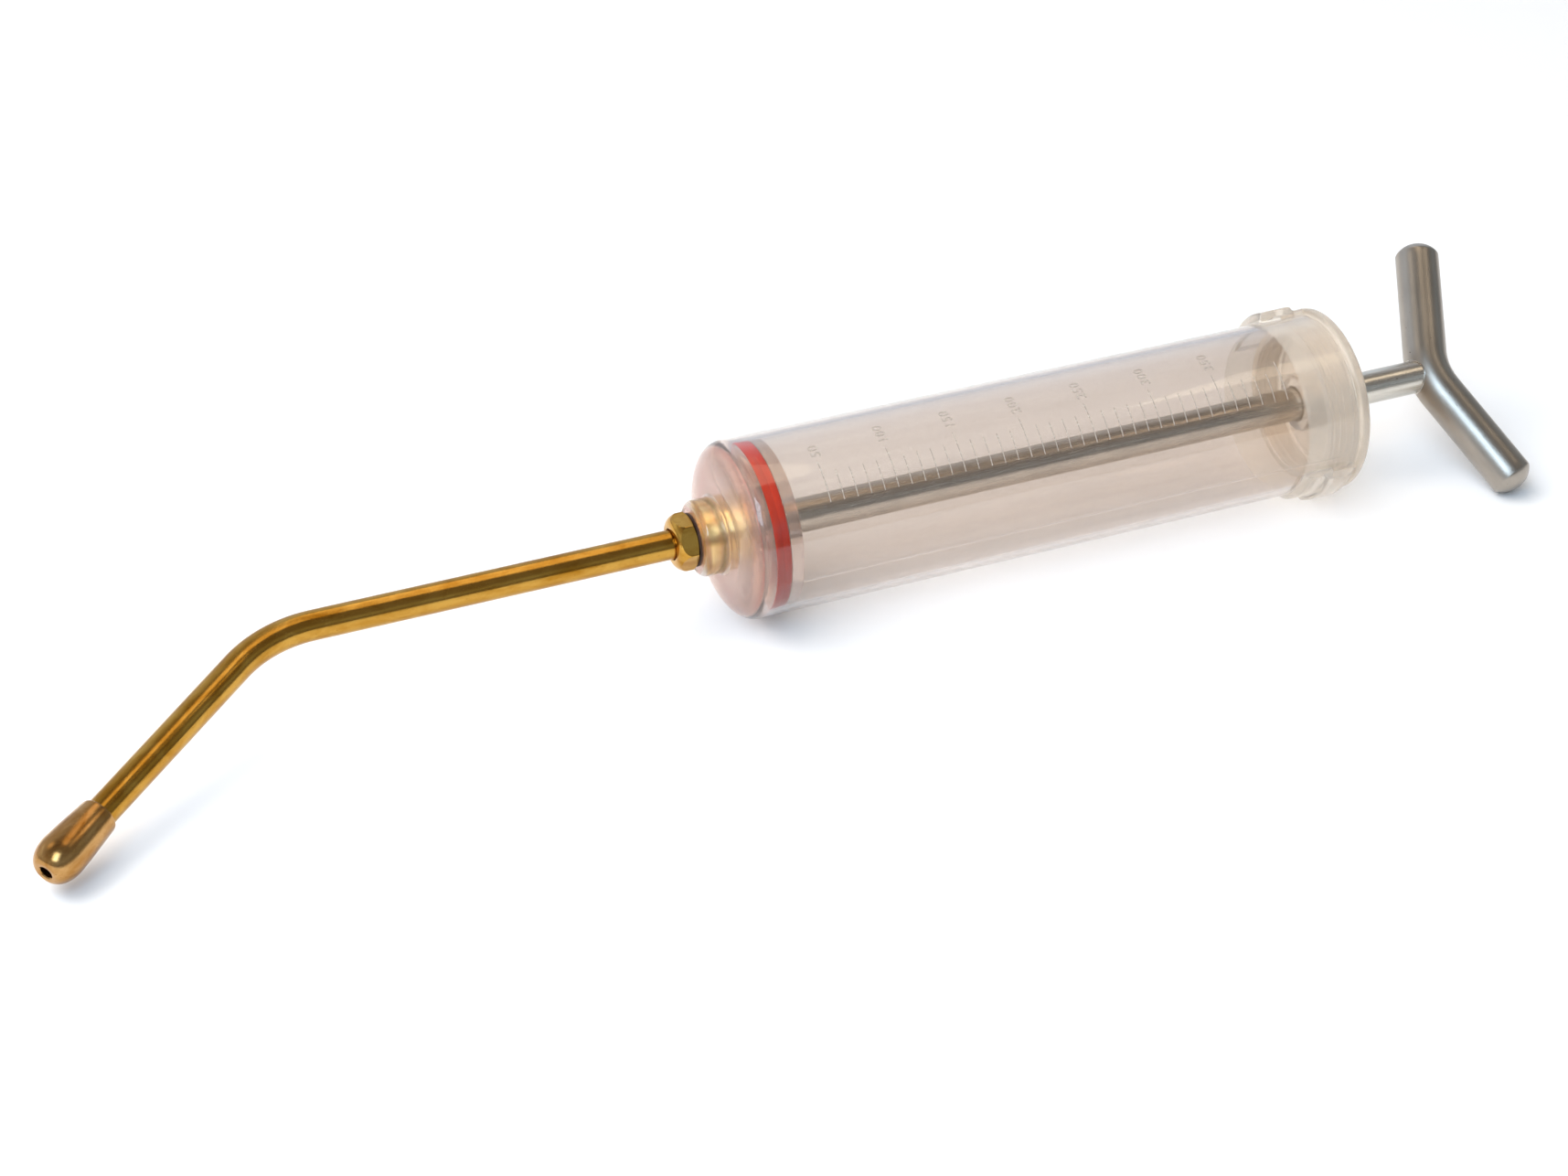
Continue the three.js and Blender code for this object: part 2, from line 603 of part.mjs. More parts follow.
let handle = solid(sweptAlong(barPath, HANDLE_RADIUS, 0));
const domeRim = HANDLE_RADIUS + CUT_MARGIN;
const domeCutterProfile = [
  [0, 0],
  ...corner(-HANDLE_END_DOME, 0, HANDLE_END_DOME, HANDLE_RADIUS, 0, 90).slice(1),
  [-HANDLE_END_DOME, domeRim],
  [CUT_MARGIN, domeRim],
  [CUT_MARGIN, 0],
];
for (const direction of armDirections) {
  const end = direction.clone().multiplyScalar(HANDLE_ARM);
  const cutter = turned(domeCutterProfile, BAR_SEGMENTS);
  const turn = new THREE.Quaternion().setFromUnitVectors(new THREE.Vector3(1, 0, 0), direction);
  cutter.applyQuaternion(turn).translate(end.x, end.y, end.z);
  handle = handle.subtract(solid(cutter));
}
const tenonEndX = barX - HANDLE_RADIUS + TENON_LENGTH;
const mortise = rod(
  barX - 2 * HANDLE_RADIUS, tenonEndX + RUNNING_CLEARANCE, TENON_RADIUS + RUNNING_CLEARANCE,
  BAR_SEGMENTS,
);
handle = handle.subtract(solid(mortise));
addMesh(handleHolder, 'handle', geometryOf(handle), STEEL, 0.35, 1);

// The rod's rear end is hollowed to sit on the bar, with a tenon into it.
const saddle = solid(sweptAlong(barPath, HANDLE_RADIUS + RUNNING_CLEARANCE, 0).translate(
  handleX, 0, 0,
));
const pistonThreadX = PISTON_NUT_INSET;
const rodProfile = [
  [pistonThreadX, 0],
  [pistonThreadX, THREAD_RADIUS - ROD_CHAMFER],
  [pistonThreadX + ROD_CHAMFER, THREAD_RADIUS],
  [rodShoulderX, THREAD_RADIUS],
  [rodShoulderX, ROD_RADIUS - ROD_CHAMFER],
  [rodShoulderX + ROD_CHAMFER, ROD_RADIUS],
  [handleX + barX, ROD_RADIUS],
  [handleX + barX, 0],
];
const tenon = rod(
  handleX - 2 * HANDLE_RADIUS, handleX + tenonEndX, TENON_RADIUS, BAR_SEGMENTS,
);
const plungerRod = solid(turned(rodProfile, SMALL_SEGMENTS)).subtract(saddle).add(solid(tenon));
const rodHolder = new THREE.Group();
rodHolder.rotation.x = degrees(HANDLE_ROLL);
syringe.add(rodHolder);
addMesh(rodHolder, 'plunger_rod', geometryOf(plungerRod), STEEL, 0.3, 1);

// ---- Cap --------------------------------------------------------------------------------------
const plugRadius = boreRadius - RUNNING_CLEARANCE;
const plugInnerRadius = plugRadius - CAP_PLUG_WALL;
const capHoleRadius = ROD_RADIUS + RUNNING_CLEARANCE;
const hubRadius = capHoleRadius + CAP_HUB_WALL;
const hubX = capFaceX - CAP_HUB_LENGTH;
const capRadius = BARREL_RADIUS + CAP_OVERHANG;
const capProfile = [
  [plugX, plugInnerRadius],
  [plugX, plugRadius],
];
for (let groove = 0; groove < CAP_GROOVE_COUNT; groove += 1) {
  const x = plugX + CAP_GROOVE_SETBACK + groove * CAP_GROOVE_PITCH;
  capProfile.push(
    [x, plugRadius],
    [x, plugRadius - CAP_GROOVE_DEPTH],
    [x + CAP_GROOVE_WIDTH, plugRadius - CAP_GROOVE_DEPTH],
    [x + CAP_GROOVE_WIDTH, plugRadius],
  );
}
capProfile.push(
  [capFaceX, plugRadius],
  [capFaceX, capRadius],
  ...corner(
    capRearX - CAP_EDGE_DEPTH, capRadius - CAP_EDGE_HEIGHT, CAP_EDGE_DEPTH, CAP_EDGE_HEIGHT,
    90, 0,
  ),
  [capRearX, capHoleRadius],
  [hubX, capHoleRadius],
  [hubX, hubRadius],
  [capFaceX, hubRadius],
  [capFaceX, plugInnerRadius],
  [plugX, plugInnerRadius],
);
let cap = solid(turned(capProfile, LARGE_SEGMENTS));
for (let place = 0; place < BAYONET_COUNT; place += 1) {
  const from = BULGE_START + place * 360 / BAYONET_COUNT;
  const lug = sector(
    lugX, lugEndX, plugRadius - CAP_PLUG_WALL / 2, lugRadius,
    [from + lockedStart, from + lockedEnd],
  );
  cap = cap.add(solid(lug));
}
addMesh(syringe, 'cap', geometryOf(cap), CAP_PLASTIC, 0.15, 0, 0.4);

// ---- Origin: the middle of the footprint, on the table --------------------------------------------
const part = new THREE.Group();
part.add(syringe);
part.updateMatrixWorld(true);
const bounds = new THREE.Box3().setFromObject(syringe, true);
const middle = bounds.getCenter(new THREE.Vector3());
syringe.position.set(-middle.x, -middle.y, -bounds.min.z);

export default part;
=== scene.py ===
# Looks of a dosing syringe: bent brass nozzle, clear graduated barrel, red seal ring, steel T
# handle. Lengths named in capitals are millimetres in the syringe's own frame, whose origin is on
# the barrel axis at the zero mark, with +X towards the handle.
import math

import bmesh
import bpy
import numpy as np
from mathutils import Matrix, Vector


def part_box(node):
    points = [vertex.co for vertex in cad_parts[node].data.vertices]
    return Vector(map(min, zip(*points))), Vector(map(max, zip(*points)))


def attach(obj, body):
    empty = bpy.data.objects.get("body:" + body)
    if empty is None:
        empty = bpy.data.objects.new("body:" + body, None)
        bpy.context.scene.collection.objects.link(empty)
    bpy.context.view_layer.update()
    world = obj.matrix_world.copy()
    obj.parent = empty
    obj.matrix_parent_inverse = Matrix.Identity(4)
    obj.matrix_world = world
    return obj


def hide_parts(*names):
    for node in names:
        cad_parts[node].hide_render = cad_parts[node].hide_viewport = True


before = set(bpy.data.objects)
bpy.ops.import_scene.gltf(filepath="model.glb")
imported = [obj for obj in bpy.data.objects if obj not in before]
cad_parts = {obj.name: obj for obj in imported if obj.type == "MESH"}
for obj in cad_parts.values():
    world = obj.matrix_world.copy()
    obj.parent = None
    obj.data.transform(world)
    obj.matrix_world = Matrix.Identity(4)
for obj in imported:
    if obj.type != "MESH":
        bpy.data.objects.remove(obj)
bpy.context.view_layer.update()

# ---- The syringe's frame in the row frame -------------------------------------------------------
MM = 0.001
disc_low, disc_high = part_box("front_disc")
ZERO = Vector((disc_low.x, (disc_low.y + disc_high.y) / 2, (disc_low.z + disc_high.z) / 2))

# ---- Sizes, as in the CAD -----------------------------------------------------------------------
# Barrel
BARREL_RADIUS = 28.5
BORE_RADIUS = 26.4
WALL_OUTER_X = -6.3
WALL_INNER_X = -3.6
BOSS_FACE_X = -13.8
BOSS_RADIUS = 12.1
BOSS_EDGE = 2.0
BOSS_FILLET = 1.2
SHOULDER_X = 1.7
SHOULDER_RADIUS = 17.3
BORE_X = -0.3
BARREL_END_X = 207.3
# Spigot
SPIGOT_RADIUS = 8.4  # moulded in, a little past its hole
SPIGOT_CLEAR_RADIUS = 8.3
SPIGOT_FRONT_X = -13.5
SPIGOT_EDGE = 0.3
FLANGE_X = (-2.8, -0.8)
FLANGE_RADIUS = 10.5
SEAT_X = -6.1
DUCT_RADIUS = 2.9
STEM_CLEAR_RADIUS = 6.2
STEM_RADIUS = 5.9
TUBE_CLEAR_RADIUS = 5.0
# Bayonet: bulges, pockets and the way into them, and the cap's lugs
BULGE_STARTS = (19.0, 199.0)
BULGE_ANGLE = 48.0
POCKET_RADIUS = 29.2
POCKET_X = (199.4, 204.2)
POCKET_ANGLES = (3.5, 44.5)
ENTRY_ANGLES = (3.5, 24.5)
LUG_RADIUS = 28.9
LUG_X = (199.7, 203.9)
LUG_ANGLES = (27.0, 43.0)
# Gland nut
NUT_FRONT_X = -21.2
NUT_REAR_X = -14.6
NUT_ACROSS_FLATS = 16.0
NUT_NOSE_LENGTH = 4.2
NUT_NOSE_RADIUS = 5.5
NUT_CHAMFER = 0.8
STEM_END_X = -9.6
# Nozzle
TUBE_RADIUS = 4.7
TUBE_BORE_RADIUS = 2.7
TUBE_END_X = -7.5
BEND_X = -150.2
BEND_ANGLE = 37.8
BEND_DROOP = 19.0
BEND_RADIUS = 42.0
NOZZLE_REACH = 104.1
TIP_LENGTH = 24.6
TIP_NOSE = 7.5
TIP_RADIUS = 7.18
TIP_REAR_RADIUS = 5.8
TIP_SOCKET_DEPTH = 13.0
ORIFICE_RADIUS = 2.1
ORIFICE_RIM = 1.0
# Piston
DISC_RADIUS = 26.1
DISC_EDGE = 1.0
DISC_HOLE_RADIUS = 4.3
SEAL_SEAT_X = (3.2, 8.1)
SEAL_SEAT_RADIUS = 20.55
NUT_RECESS_RADIUS = 8.7
NUT_RECESS_X = 5.7
REAR_DISC_X = (8.2, 12.6)
SEAL_X = (3.3, 8.1)
SEAL_RADIUS = 26.25
SEAL_INNER_RADIUS = 20.85
SEAL_EDGE = 0.3
SEAL_WAIST = 0.13
PISTON_NUT_X = (0.5, 4.5)
PISTON_NUT_ACROSS_FLATS = 13.0
PISTON_NUT_FACE_RADIUS = 7.1
# Rod and handle
ROD_RADIUS = 5.5
ROD_EDGE = 0.6
ROD_END_X = 0.5
THREAD_RADIUS = 4.0
ROD_SHOULDER_X = 12.7
HANDLE_X = 250.2
HANDLE_RADIUS = 7.28
HANDLE_ARM = 48.6
HANDLE_SWEEP = 19.1
HANDLE_ROLL = 35.8
HANDLE_BEND_RADIUS = 22.0
HANDLE_DOME = 4.2
DOME_FULLNESS = 1.35
BEAD_RADIUS = 0.32
# Cap
CAP_FACE_X = 207.6
CAP_REAR_X = 211.2
CAP_RADIUS = 30.2
PLUG_X = 197.7
PLUG_RADIUS = 26.1
PLUG_INNER_RADIUS = 22.9
GROOVE_X = (198.05, 200.15, 202.25)
GROOVE_WIDTH = 0.9
GROOVE_SLOPE = 0.08
GROOVE_DEPTH = 0.6
CAP_HOLE_RADIUS = 5.8
HUB_RADIUS = 9.4
HUB_X = 199.2
# Scale
MARK_PITCH = 4.563  # 10 ml of a 52.8 mm bore

# ---- Fineness of the meshes ---------------------------------------------------------------------
AROUND = 180  # columns round a large turned piece
AROUND_SMALL = 96  # columns round a small one
STRAIGHT_STEPS = 12
SHARP_ANGLE = 34.0
NUT_SHARP_ANGLE = 24.0
MERGE_DISTANCE = 1e-7
DEGENERATE_LENGTH = 1e-8


# ---- Mesh helpers -------------------------------------------------------------------------------
def corner(x, radius, depth, height, start, end, steps=10):
    """Points on a quarter ellipse, from one angle to another: 0 is +X, 90 is outward."""
    angles = np.radians(np.linspace(start, end, steps + 1))
    return [(x + depth * math.cos(a), radius + height * math.sin(a)) for a in angles]


def finished(name, points, flow, faces, slots, materials, sharp=SHARP_ANGLE):
    """A mesh object in the row frame from points in millimetres. The flow attribute keeps each
    point's place in its piece as if the piece were straight, for the materials to follow."""
    mesh = bpy.data.meshes.new(name)
    places = np.array(points, float) * MM + np.array(ZERO)
    mesh.from_pydata(places.tolist(), [], faces)
    attribute = mesh.attributes.new("flow", "FLOAT_VECTOR", "POINT")
    attribute.data.foreach_set("vector", np.array(flow, np.float32).ravel())
    for material in materials:
        mesh.materials.append(material)
    mesh.polygons.foreach_set("material_index", np.array(slots, np.int32))
    work = bmesh.new()
    work.from_mesh(mesh)
    bmesh.ops.remove_doubles(work, verts=work.verts, dist=MERGE_DISTANCE)
    bmesh.ops.dissolve_degenerate(work, edges=work.edges, dist=DEGENERATE_LENGTH)
    bmesh.ops.recalc_face_normals(work, faces=work.faces)
    work.to_mesh(mesh)
    work.free()
    mesh.shade_smooth()
    mesh.set_sharp_from_angle(angle=math.radians(sharp))
    piece = bpy.data.objects.new(name, mesh)
    bpy.context.scene.collection.objects.link(piece)
    return piece


def grid(rows, closed):
    """Faces of a grid of rows, closed round each row, and from the last row to the first."""
    count, around = len(rows), len(rows[0])
    faces = []
    for i in range(count if closed else count - 1):
        n = (i + 1) % count
        for j in range(around):
            m = (j + 1) % around
            faces.append((i * around + j, n * around + j, n * around + m, i * around + m))
    return faces


def turned(name, profile, materials, around=AROUND, closed=True, slot_of=None, sharp=SHARP_ANGLE):
    """A profile of (x, radius), where radius may be an array with one value for each column,
    turned about the axis. around is a number of columns or the columns' angles in degrees."""
    angles = np.radians(np.arange(around) * 360 / around if np.isscalar(around) else around)
    rows = []
    for x, radius in profile:
        radius = np.broadcast_to(radius, angles.shape)
        x = np.broadcast_to(x, angles.shape)
        rows.append(np.stack([x, radius * np.cos(angles), radius * np.sin(angles)], 1))
    faces = grid(rows, closed)
    per_row = len(angles)
    slots = [0 if slot_of is None else slot_of[i // per_row] for i in range(len(faces))]
    points = np.concatenate(rows)
    return finished(name, points, points, faces, slots, materials, sharp)


def washer(name, material, x, hole, rim, edge):
    """A flat ring from x[0] to x[1] with its outer corners cut by edge."""
    front, rear = x
    profile = [
        (front, hole),
        (front, rim - edge),
        (front + edge, rim),
        (rear - edge, rim),
        (rear, rim - edge),
        (rear, hole),
    ]
    return turned(name, profile, [material], AROUND_SMALL)


def swept(name, path, directions, rings, materials, around, closed=False):
    """Rings of (path index, radius, shift along) round a path, for tubes and bars. The frame of
    each ring has its first axis normal to the plane that the path bends in."""
    angles = np.radians(np.arange(around) * 360 / around)
    lengths = np.concatenate([[0], np.cumsum(np.linalg.norm(np.diff(path, axis=0), axis=1))])
    normal = np.cross(directions[0], directions[-1])
    normal /= np.linalg.norm(normal)
    rows, flows = [], []
    for index, radius, shift in rings:
        along = directions[index]
        side = np.cross(along, normal)
        centre = path[index] + along * shift
        rows.append(
            centre
            + radius * np.outer(np.cos(angles), normal)
            + radius * np.outer(np.sin(angles), side)
        )
        reach = np.full(around, lengths[index] + shift)
        flows.append(np.stack([reach, radius * np.cos(angles), radius * np.sin(angles)], 1))
    points, flow = np.concatenate(rows), np.concatenate(flows)
    faces = grid(rows, closed)
    return finished(name, points, flow, faces, [0] * len(faces), materials)


def bent_path(start, meeting, end, radius, steps):
    """Points and directions along a straight run, a bend and a straight run."""
    into = (meeting - start) / np.linalg.norm(meeting - start)
    out = (end - meeting) / np.linalg.norm(end - meeting)
    turn = math.acos(float(into @ out))
    setback = radius * math.tan(turn / 2)
    first, last = meeting - into * setback, meeting + out * setback
    inward = out - into * float(out @ into)
    inward /= np.linalg.norm(inward)
    points, directions = [], []
    for share in np.linspace(0, 1, STRAIGHT_STEPS + 1)[:-1]:
        points.append(start + (first - start) * share)
        directions.append(into)
    for angle in np.linspace(0, turn, steps + 1):
        points.append(
            first + into * radius * math.sin(angle) + inward * radius * (1 - math.cos(angle))
        )
        directions.append(into * math.cos(angle) + inward * math.sin(angle))
    for share in np.linspace(0, 1, STRAIGHT_STEPS + 1)[1:]:
        points.append(last + (end - last) * share)
        directions.append(out)
    return np.array(points), np.array(directions)


def columns(step, edges, spread=0.15):
    """Angles every step degrees, with a pair of close ones at each edge."""
    angles = set(np.round(np.arange(0, 360, step), 3))
    for edge in edges:
        for shift in (-spread, spread):
            angles.add(round((edge + shift) % 360, 3))
    angles = np.array(sorted(angles))
    keep = np.concatenate([[True], np.diff(angles) > 0.05])
    return angles[keep]


def within(angles, start, end):
    """Which angles are between start and end, going round past zero if need be."""
    return ((angles - start) % 360) <= (end - start) % 360


def show(piece, body, *nodes, slot=None):
    """Puts a piece on its body, in place of the CAD nodes that it draws."""
    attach(piece, body)
    if nodes:
        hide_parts(*nodes)


# ---- Materials ----------------------------------------------------------------------------------
def fill_ramp(ramp, stops):
    """Gives a ramp node its stops of (place, colour), where a colour may be one grey value."""
    elements = ramp.color_ramp.elements
    while len(elements) < len(stops):
        elements.new(0.5)
    for element, (place, colour) in zip(elements, stops):
        element.position = place
        colour = (colour,) * 3 if np.isscalar(colour) else colour
        element.color = (*colour, 1)


class Shader:
    """A material whose nodes are made one call at a time."""

    def __init__(self, name):
        """An empty material with its output and the pieces' flow attribute."""
        self.material = bpy.data.materials.new(name)
        self.material.use_nodes = True
        self.nodes = self.material.node_tree.nodes
        self.links = self.material.node_tree.links
        self.nodes.clear()
        self.output = self.nodes.new("ShaderNodeOutputMaterial")
        self.flow = self.nodes.new("ShaderNodeAttribute")
        self.flow.attribute_name = "flow"

    def add(self, kind, **values):
        """A new node with some of its settings."""
        node = self.nodes.new("ShaderNode" + kind)
        for key, value in values.items():
            setattr(node, key, value)
        return node

    def link(self, source, target):
        """Joins an output to an input."""
        self.links.new(source, target)

    def stretched(self, along, around):
        """The piece's own coordinates in millimetres, scaled along and across it."""
        mapping = self.add("Mapping")
        mapping.inputs["Scale"].default_value = (along, around, around)
        self.link(self.flow.outputs["Vector"], mapping.inputs["Vector"])
        return mapping.outputs["Vector"]

    def noise(self, vector, detail=3.0, roughness=0.55, distortion=0.0):
        """Noise whose size is set by how its vector is stretched."""
        node = self.add("TexNoise")
        node.inputs["Scale"].default_value = 1.0
        node.inputs["Detail"].default_value = detail
        node.inputs["Roughness"].default_value = roughness
        node.inputs["Distortion"].default_value = distortion
        self.link(vector, node.inputs["Vector"])
        return node.outputs["Fac"]

    def ramp(self, value, *stops):
        """A colour for each value, through (value, colour) stops."""
        node = self.add("ValToRGB")
        fill_ramp(node, stops)
        self.link(value, node.inputs["Fac"])
        return node.outputs["Color"]

    def ranged(self, value, low, high, from_low=0.0, from_high=1.0):
        """The value taken from one range to another, held at its ends."""
        node = self.add("MapRange")
        node.inputs["From Min"].default_value = from_low
        node.inputs["From Max"].default_value = from_high
        node.inputs["To Min"].default_value = low
        node.inputs["To Max"].default_value = high
        self.link(value, node.inputs["Value"])
        return node.outputs["Result"]

    def mixed(self, factor, first, second):
        """From the first colour to the second as the factor goes from 0 to 1."""
        node = self.add("Mix", data_type="RGBA")
        for index, value in ((0, factor), (6, first), (7, second)):
            socket = node.inputs[index]
            if isinstance(value, bpy.types.NodeSocket):
                self.link(value, socket)
            elif np.isscalar(value):
                socket.default_value = value
            else:
                socket.default_value = (*value, 1)
        return node.outputs[2]

    def bump(self, height, strength, distance, normal=None):
        """A bump of a height in millimetres, on top of another if normal is given."""
        node = self.add("Bump")
        node.inputs["Strength"].default_value = strength
        node.inputs["Distance"].default_value = distance * MM
        self.link(height, node.inputs["Height"])
        if normal is not None:
            self.link(normal, node.inputs["Normal"])
        return node.outputs["Normal"]

    def principled(self, **values):
        """The main shader, each input given by its name as a value or as another node's output."""
        node = self.add("BsdfPrincipled")
        for key, value in values.items():
            socket = node.inputs[key.replace("_", " ")]
            if isinstance(value, bpy.types.NodeSocket):
                self.link(value, socket)
            elif isinstance(value, tuple):
                socket.default_value = (*value, 1)
            else:
                socket.default_value = value
        self.link(node.outputs[0], self.output.inputs["Surface"])
        return node


def brass(name, dark, pale, roughness, drawn):
    """Polished brass with fine lines, thin brown tarnish and small specks."""
    look = Shader(name)
    drawing = look.stretched(0.05, 9.0) if drawn else look.stretched(7.0, 0.25)
    lines = look.noise(drawing, detail=4.0)
    cloud = look.noise(look.stretched(0.09, 0.22), detail=4.0, roughness=0.6, distortion=0.4)
    specks = look.noise(look.stretched(2.6, 2.6), detail=2.0, roughness=0.5)
    speck = look.ramp(specks, (0.26, 1.0), (0.3, 0.0))
    colour = look.ramp(cloud, (0.3, dark), (0.62, pale))
    colour = look.mixed(speck, colour, (0.16, 0.07, 0.015))
    rough = look.mixed(speck, look.ranged(cloud, roughness[1], roughness[0]), (0.55,) * 3)
    normal = look.bump(lines, strength=0.22, distance=0.05)
    normal = look.bump(cloud, strength=0.12, distance=0.35, normal=normal)
    look.principled(Base_Color=colour, Metallic=1.0, Roughness=rough, Normal=normal)
    return look.material


def steel(name, along, roughness, tone):
    """Satin stainless steel, brushed along or round the piece, with a few dents and stains."""
    look = Shader(name)
    brushing = look.stretched(0.06, 6.0) if along else look.stretched(6.0, 0.3)
    grain = look.noise(brushing, detail=5.0, roughness=0.7)
    cloud = look.noise(look.stretched(0.07, 0.2), detail=3.0, roughness=0.55, distortion=0.3)
    pits = look.noise(look.stretched(1.1, 1.1), detail=1.0, roughness=0.4)
    pit = look.ramp(pits, (0.2, 1.0), (0.235, 0.0))
    colour = look.ramp(cloud, (0.3, tuple(0.86 * part for part in tone)), (0.7, tone))
    colour = look.mixed(pit, colour, (0.12, 0.1, 0.09))
    rough = look.ranged(grain, roughness[0], roughness[1], 0.3, 0.7)
    normal = look.bump(grain, strength=0.3, distance=0.06)
    normal = look.bump(pit, strength=0.35, distance=-0.12, normal=normal)
    look.principled(Base_Color=colour, Metallic=1.0, Roughness=rough, Normal=normal)
    return look.material


def clear(name, colour, roughness, clearness, ripple):
    """Clear moulded plastic: faint flow ripples along it, haze, scuffs and dust. Lamps shine
    through it."""
    look = Shader(name)
    ripples = look.noise(look.stretched(0.02, 0.3), detail=2.0, roughness=0.5, distortion=0.2)
    scuffs = look.noise(look.stretched(0.5, 1.6), detail=4.0, roughness=0.65)
    dust = look.noise(look.stretched(1.9, 1.9), detail=1.0, roughness=0.4)
    speck = look.ramp(dust, (0.215, 1.0), (0.235, 0.0))
    normal = look.bump(ripples, strength=1.0, distance=ripple)
    tint = look.ramp(ripples, (0.35, tuple(0.96 * part for part in colour)), (0.65, colour))
    glass = look.principled(
        Base_Color=look.mixed(speck, tint, (0.97, 0.96, 0.94)),
        Roughness=look.ranged(scuffs, roughness[0], roughness[1], 0.35, 0.7),
        IOR=1.49,
        Transmission_Weight=clearness,
        Specular_IOR_Level=0.3,
        Normal=look.bump(scuffs, strength=0.06, distance=0.02, normal=normal),
    )
    through = look.add("BsdfTransparent")
    through.inputs["Color"].default_value = (0.9, 0.88, 0.86, 1)
    path = look.add("LightPath")
    choice = look.add("MixShader")
    look.link(path.outputs["Is Shadow Ray"], choice.inputs["Fac"])
    look.link(glass.outputs[0], choice.inputs[1])
    look.link(through.outputs[0], choice.inputs[2])
    look.link(choice.outputs[0], look.output.inputs["Surface"])
    return look.material


def rubber(name, dark, pale, roughness, gloss):
    """Dull rubber or fibre with a fine grain and slightly uneven colour."""
    look = Shader(name)
    grain = look.noise(look.stretched(3.0, 3.0), detail=4.0, roughness=0.6)
    cloud = look.noise(look.stretched(0.25, 0.12))
    colour = look.ramp(cloud, (0.32, dark), (0.68, pale))
    rough = look.ranged(grain, roughness[0], roughness[1], 0.3, 0.7)
    normal = look.bump(grain, strength=0.25, distance=0.08)
    look.principled(Base_Color=colour, Roughness=rough, Specular_IOR_Level=gloss, Normal=normal)
    return look.material


# Brass: dark and pale tone, roughness from and to, and whether it is drawn along its length.
brass_tube = brass("brass_tube", (0.38, 0.165, 0.014), (0.54, 0.295, 0.055), (0.12, 0.22), True)
brass_tip = brass("brass_tip", (0.32, 0.135, 0.025), (0.50, 0.28, 0.10), (0.16, 0.26), True)
brass_turned = brass("brass_turned", (0.44, 0.20, 0.022), (0.62, 0.35, 0.07), (0.09, 0.18), False)
# The insert is the same brass as the other parts, made paler: painted light for how brightly it
# shows through the boss.
brass_insert = brass("brass_insert", (0.80, 0.55, 0.20), (0.95, 0.75, 0.38), (0.16, 0.26), False)
# Steel: whether it is brushed along its length, roughness from and to, and tone.
# Rod and handle are one steel. The rod's tone is made lighter as painted light, and the handle's
# darker as painted shade.
steel_rod = steel("steel_rod", True, (0.2, 0.3), (0.74, 0.69, 0.61))
steel_handle = steel("steel_handle", True, (0.28, 0.4), (0.44, 0.39, 0.335))
steel_turned = steel("steel_turned", False, (0.2, 0.3), (0.60, 0.56, 0.51))
# Clear plastic: colour, roughness from and to, share of light let through, and ripple height.
barrel_outside = clear("barrel_outside", (0.80, 0.74, 0.70), (0.02, 0.06), 0.995, 0.01)
barrel_inside = clear("barrel_inside", (0.80, 0.735, 0.68), (0.04, 0.09), 0.985, 0.012)
boss_outside = clear("boss_outside", (0.93, 0.88, 0.76), (0.03, 0.09), 0.97, 0.01)
# The dome is moulded in one with the barrel. Its pinker tint, strongest on the inside, is a painted
# red reflection of the seal ring.
dome_outside = clear("dome_outside", (0.82, 0.64, 0.56), (0.06, 0.14), 0.93, 0.01)
dome_inside = clear("dome_inside", (0.90, 0.67, 0.57), (0.18, 0.28), 0.95, 0.01)
bulge_outside = clear("bulge_outside", (0.84, 0.77, 0.68), (0.14, 0.24), 0.74, 0.01)
disc_plastic = clear("disc_plastic", (0.90, 0.77, 0.70), (0.1, 0.18), 0.93, 0.01)
cap_plastic = clear("cap_plastic", (0.82, 0.74, 0.64), (0.16, 0.26), 0.72, 0.01)
mark_plastic = clear("mark_plastic", (0.52, 0.45, 0.39), (0.2, 0.35), 0.3, 0.01)
# Rubber and fibre: dark and pale tone, roughness from and to, and gloss.
seal_red = rubber("seal_red", (0.42, 0.014, 0.0), (0.54, 0.026, 0.0), (0.6, 0.75), 0.04)
dark_rubber = rubber("dark_rubber", (0.03, 0.014, 0.01), (0.06, 0.03, 0.02), (0.5, 0.7), 0.4)
fibre = rubber("fibre", (0.22, 0.085, 0.035), (0.33, 0.14, 0.06), (0.6, 0.85), 0.3)


# ---- Barrel -------------------------------------------------------------------------------------
# Height of each bulge along the barrel, as (x, height) points.
BULGE_HEIGHTS = (
    ((190.6, 0.0), (192.4, 3.3), (203.0, 3.3), (204.2, 1.7), (207.3, 1.7)),
    (
        (188.2, 0.0),
        (190.6, 1.6),
        (195.4, 1.8),
        (196.6, 3.3),
        (204.6, 3.3),
        (206.2, 1.7),
        (207.3, 1.7),
    ),
)
BULGE_EDGE_ANGLE = 3.0
BULGE_SOFTNESS = 0.35
SEAM_ANGLE = 190.5
SEAM_HALF_ANGLE = 0.2
SEAM_HEIGHT = 0.05
MOUTH_EDGE = 0.2


def smooth_steps(x, table, softness):
    """The height at x of a line through the table's points, with its corners softened."""
    xs, heights = zip(*table)
    samples = [np.interp(x + shift, xs, heights) for shift in np.linspace(-softness, softness, 7)]
    return float(np.mean(samples))


def bulge(x, angles):
    """How far the bayonet bulges stand out of the barrel."""
    height = np.zeros(len(angles))
    for start, table in zip(BULGE_STARTS, BULGE_HEIGHTS):
        if x < table[0][0] - 0.5:
            continue
        inside = (angles - start) % 360
        share = np.minimum(inside, BULGE_ANGLE - inside) / BULGE_EDGE_ANGLE
        share = np.clip(share, 0, 1)
        share = share * share * (3 - 2 * share)
        share[inside > BULGE_ANGLE] = 0
        height += smooth_steps(x, table, BULGE_SOFTNESS) * share
    return height


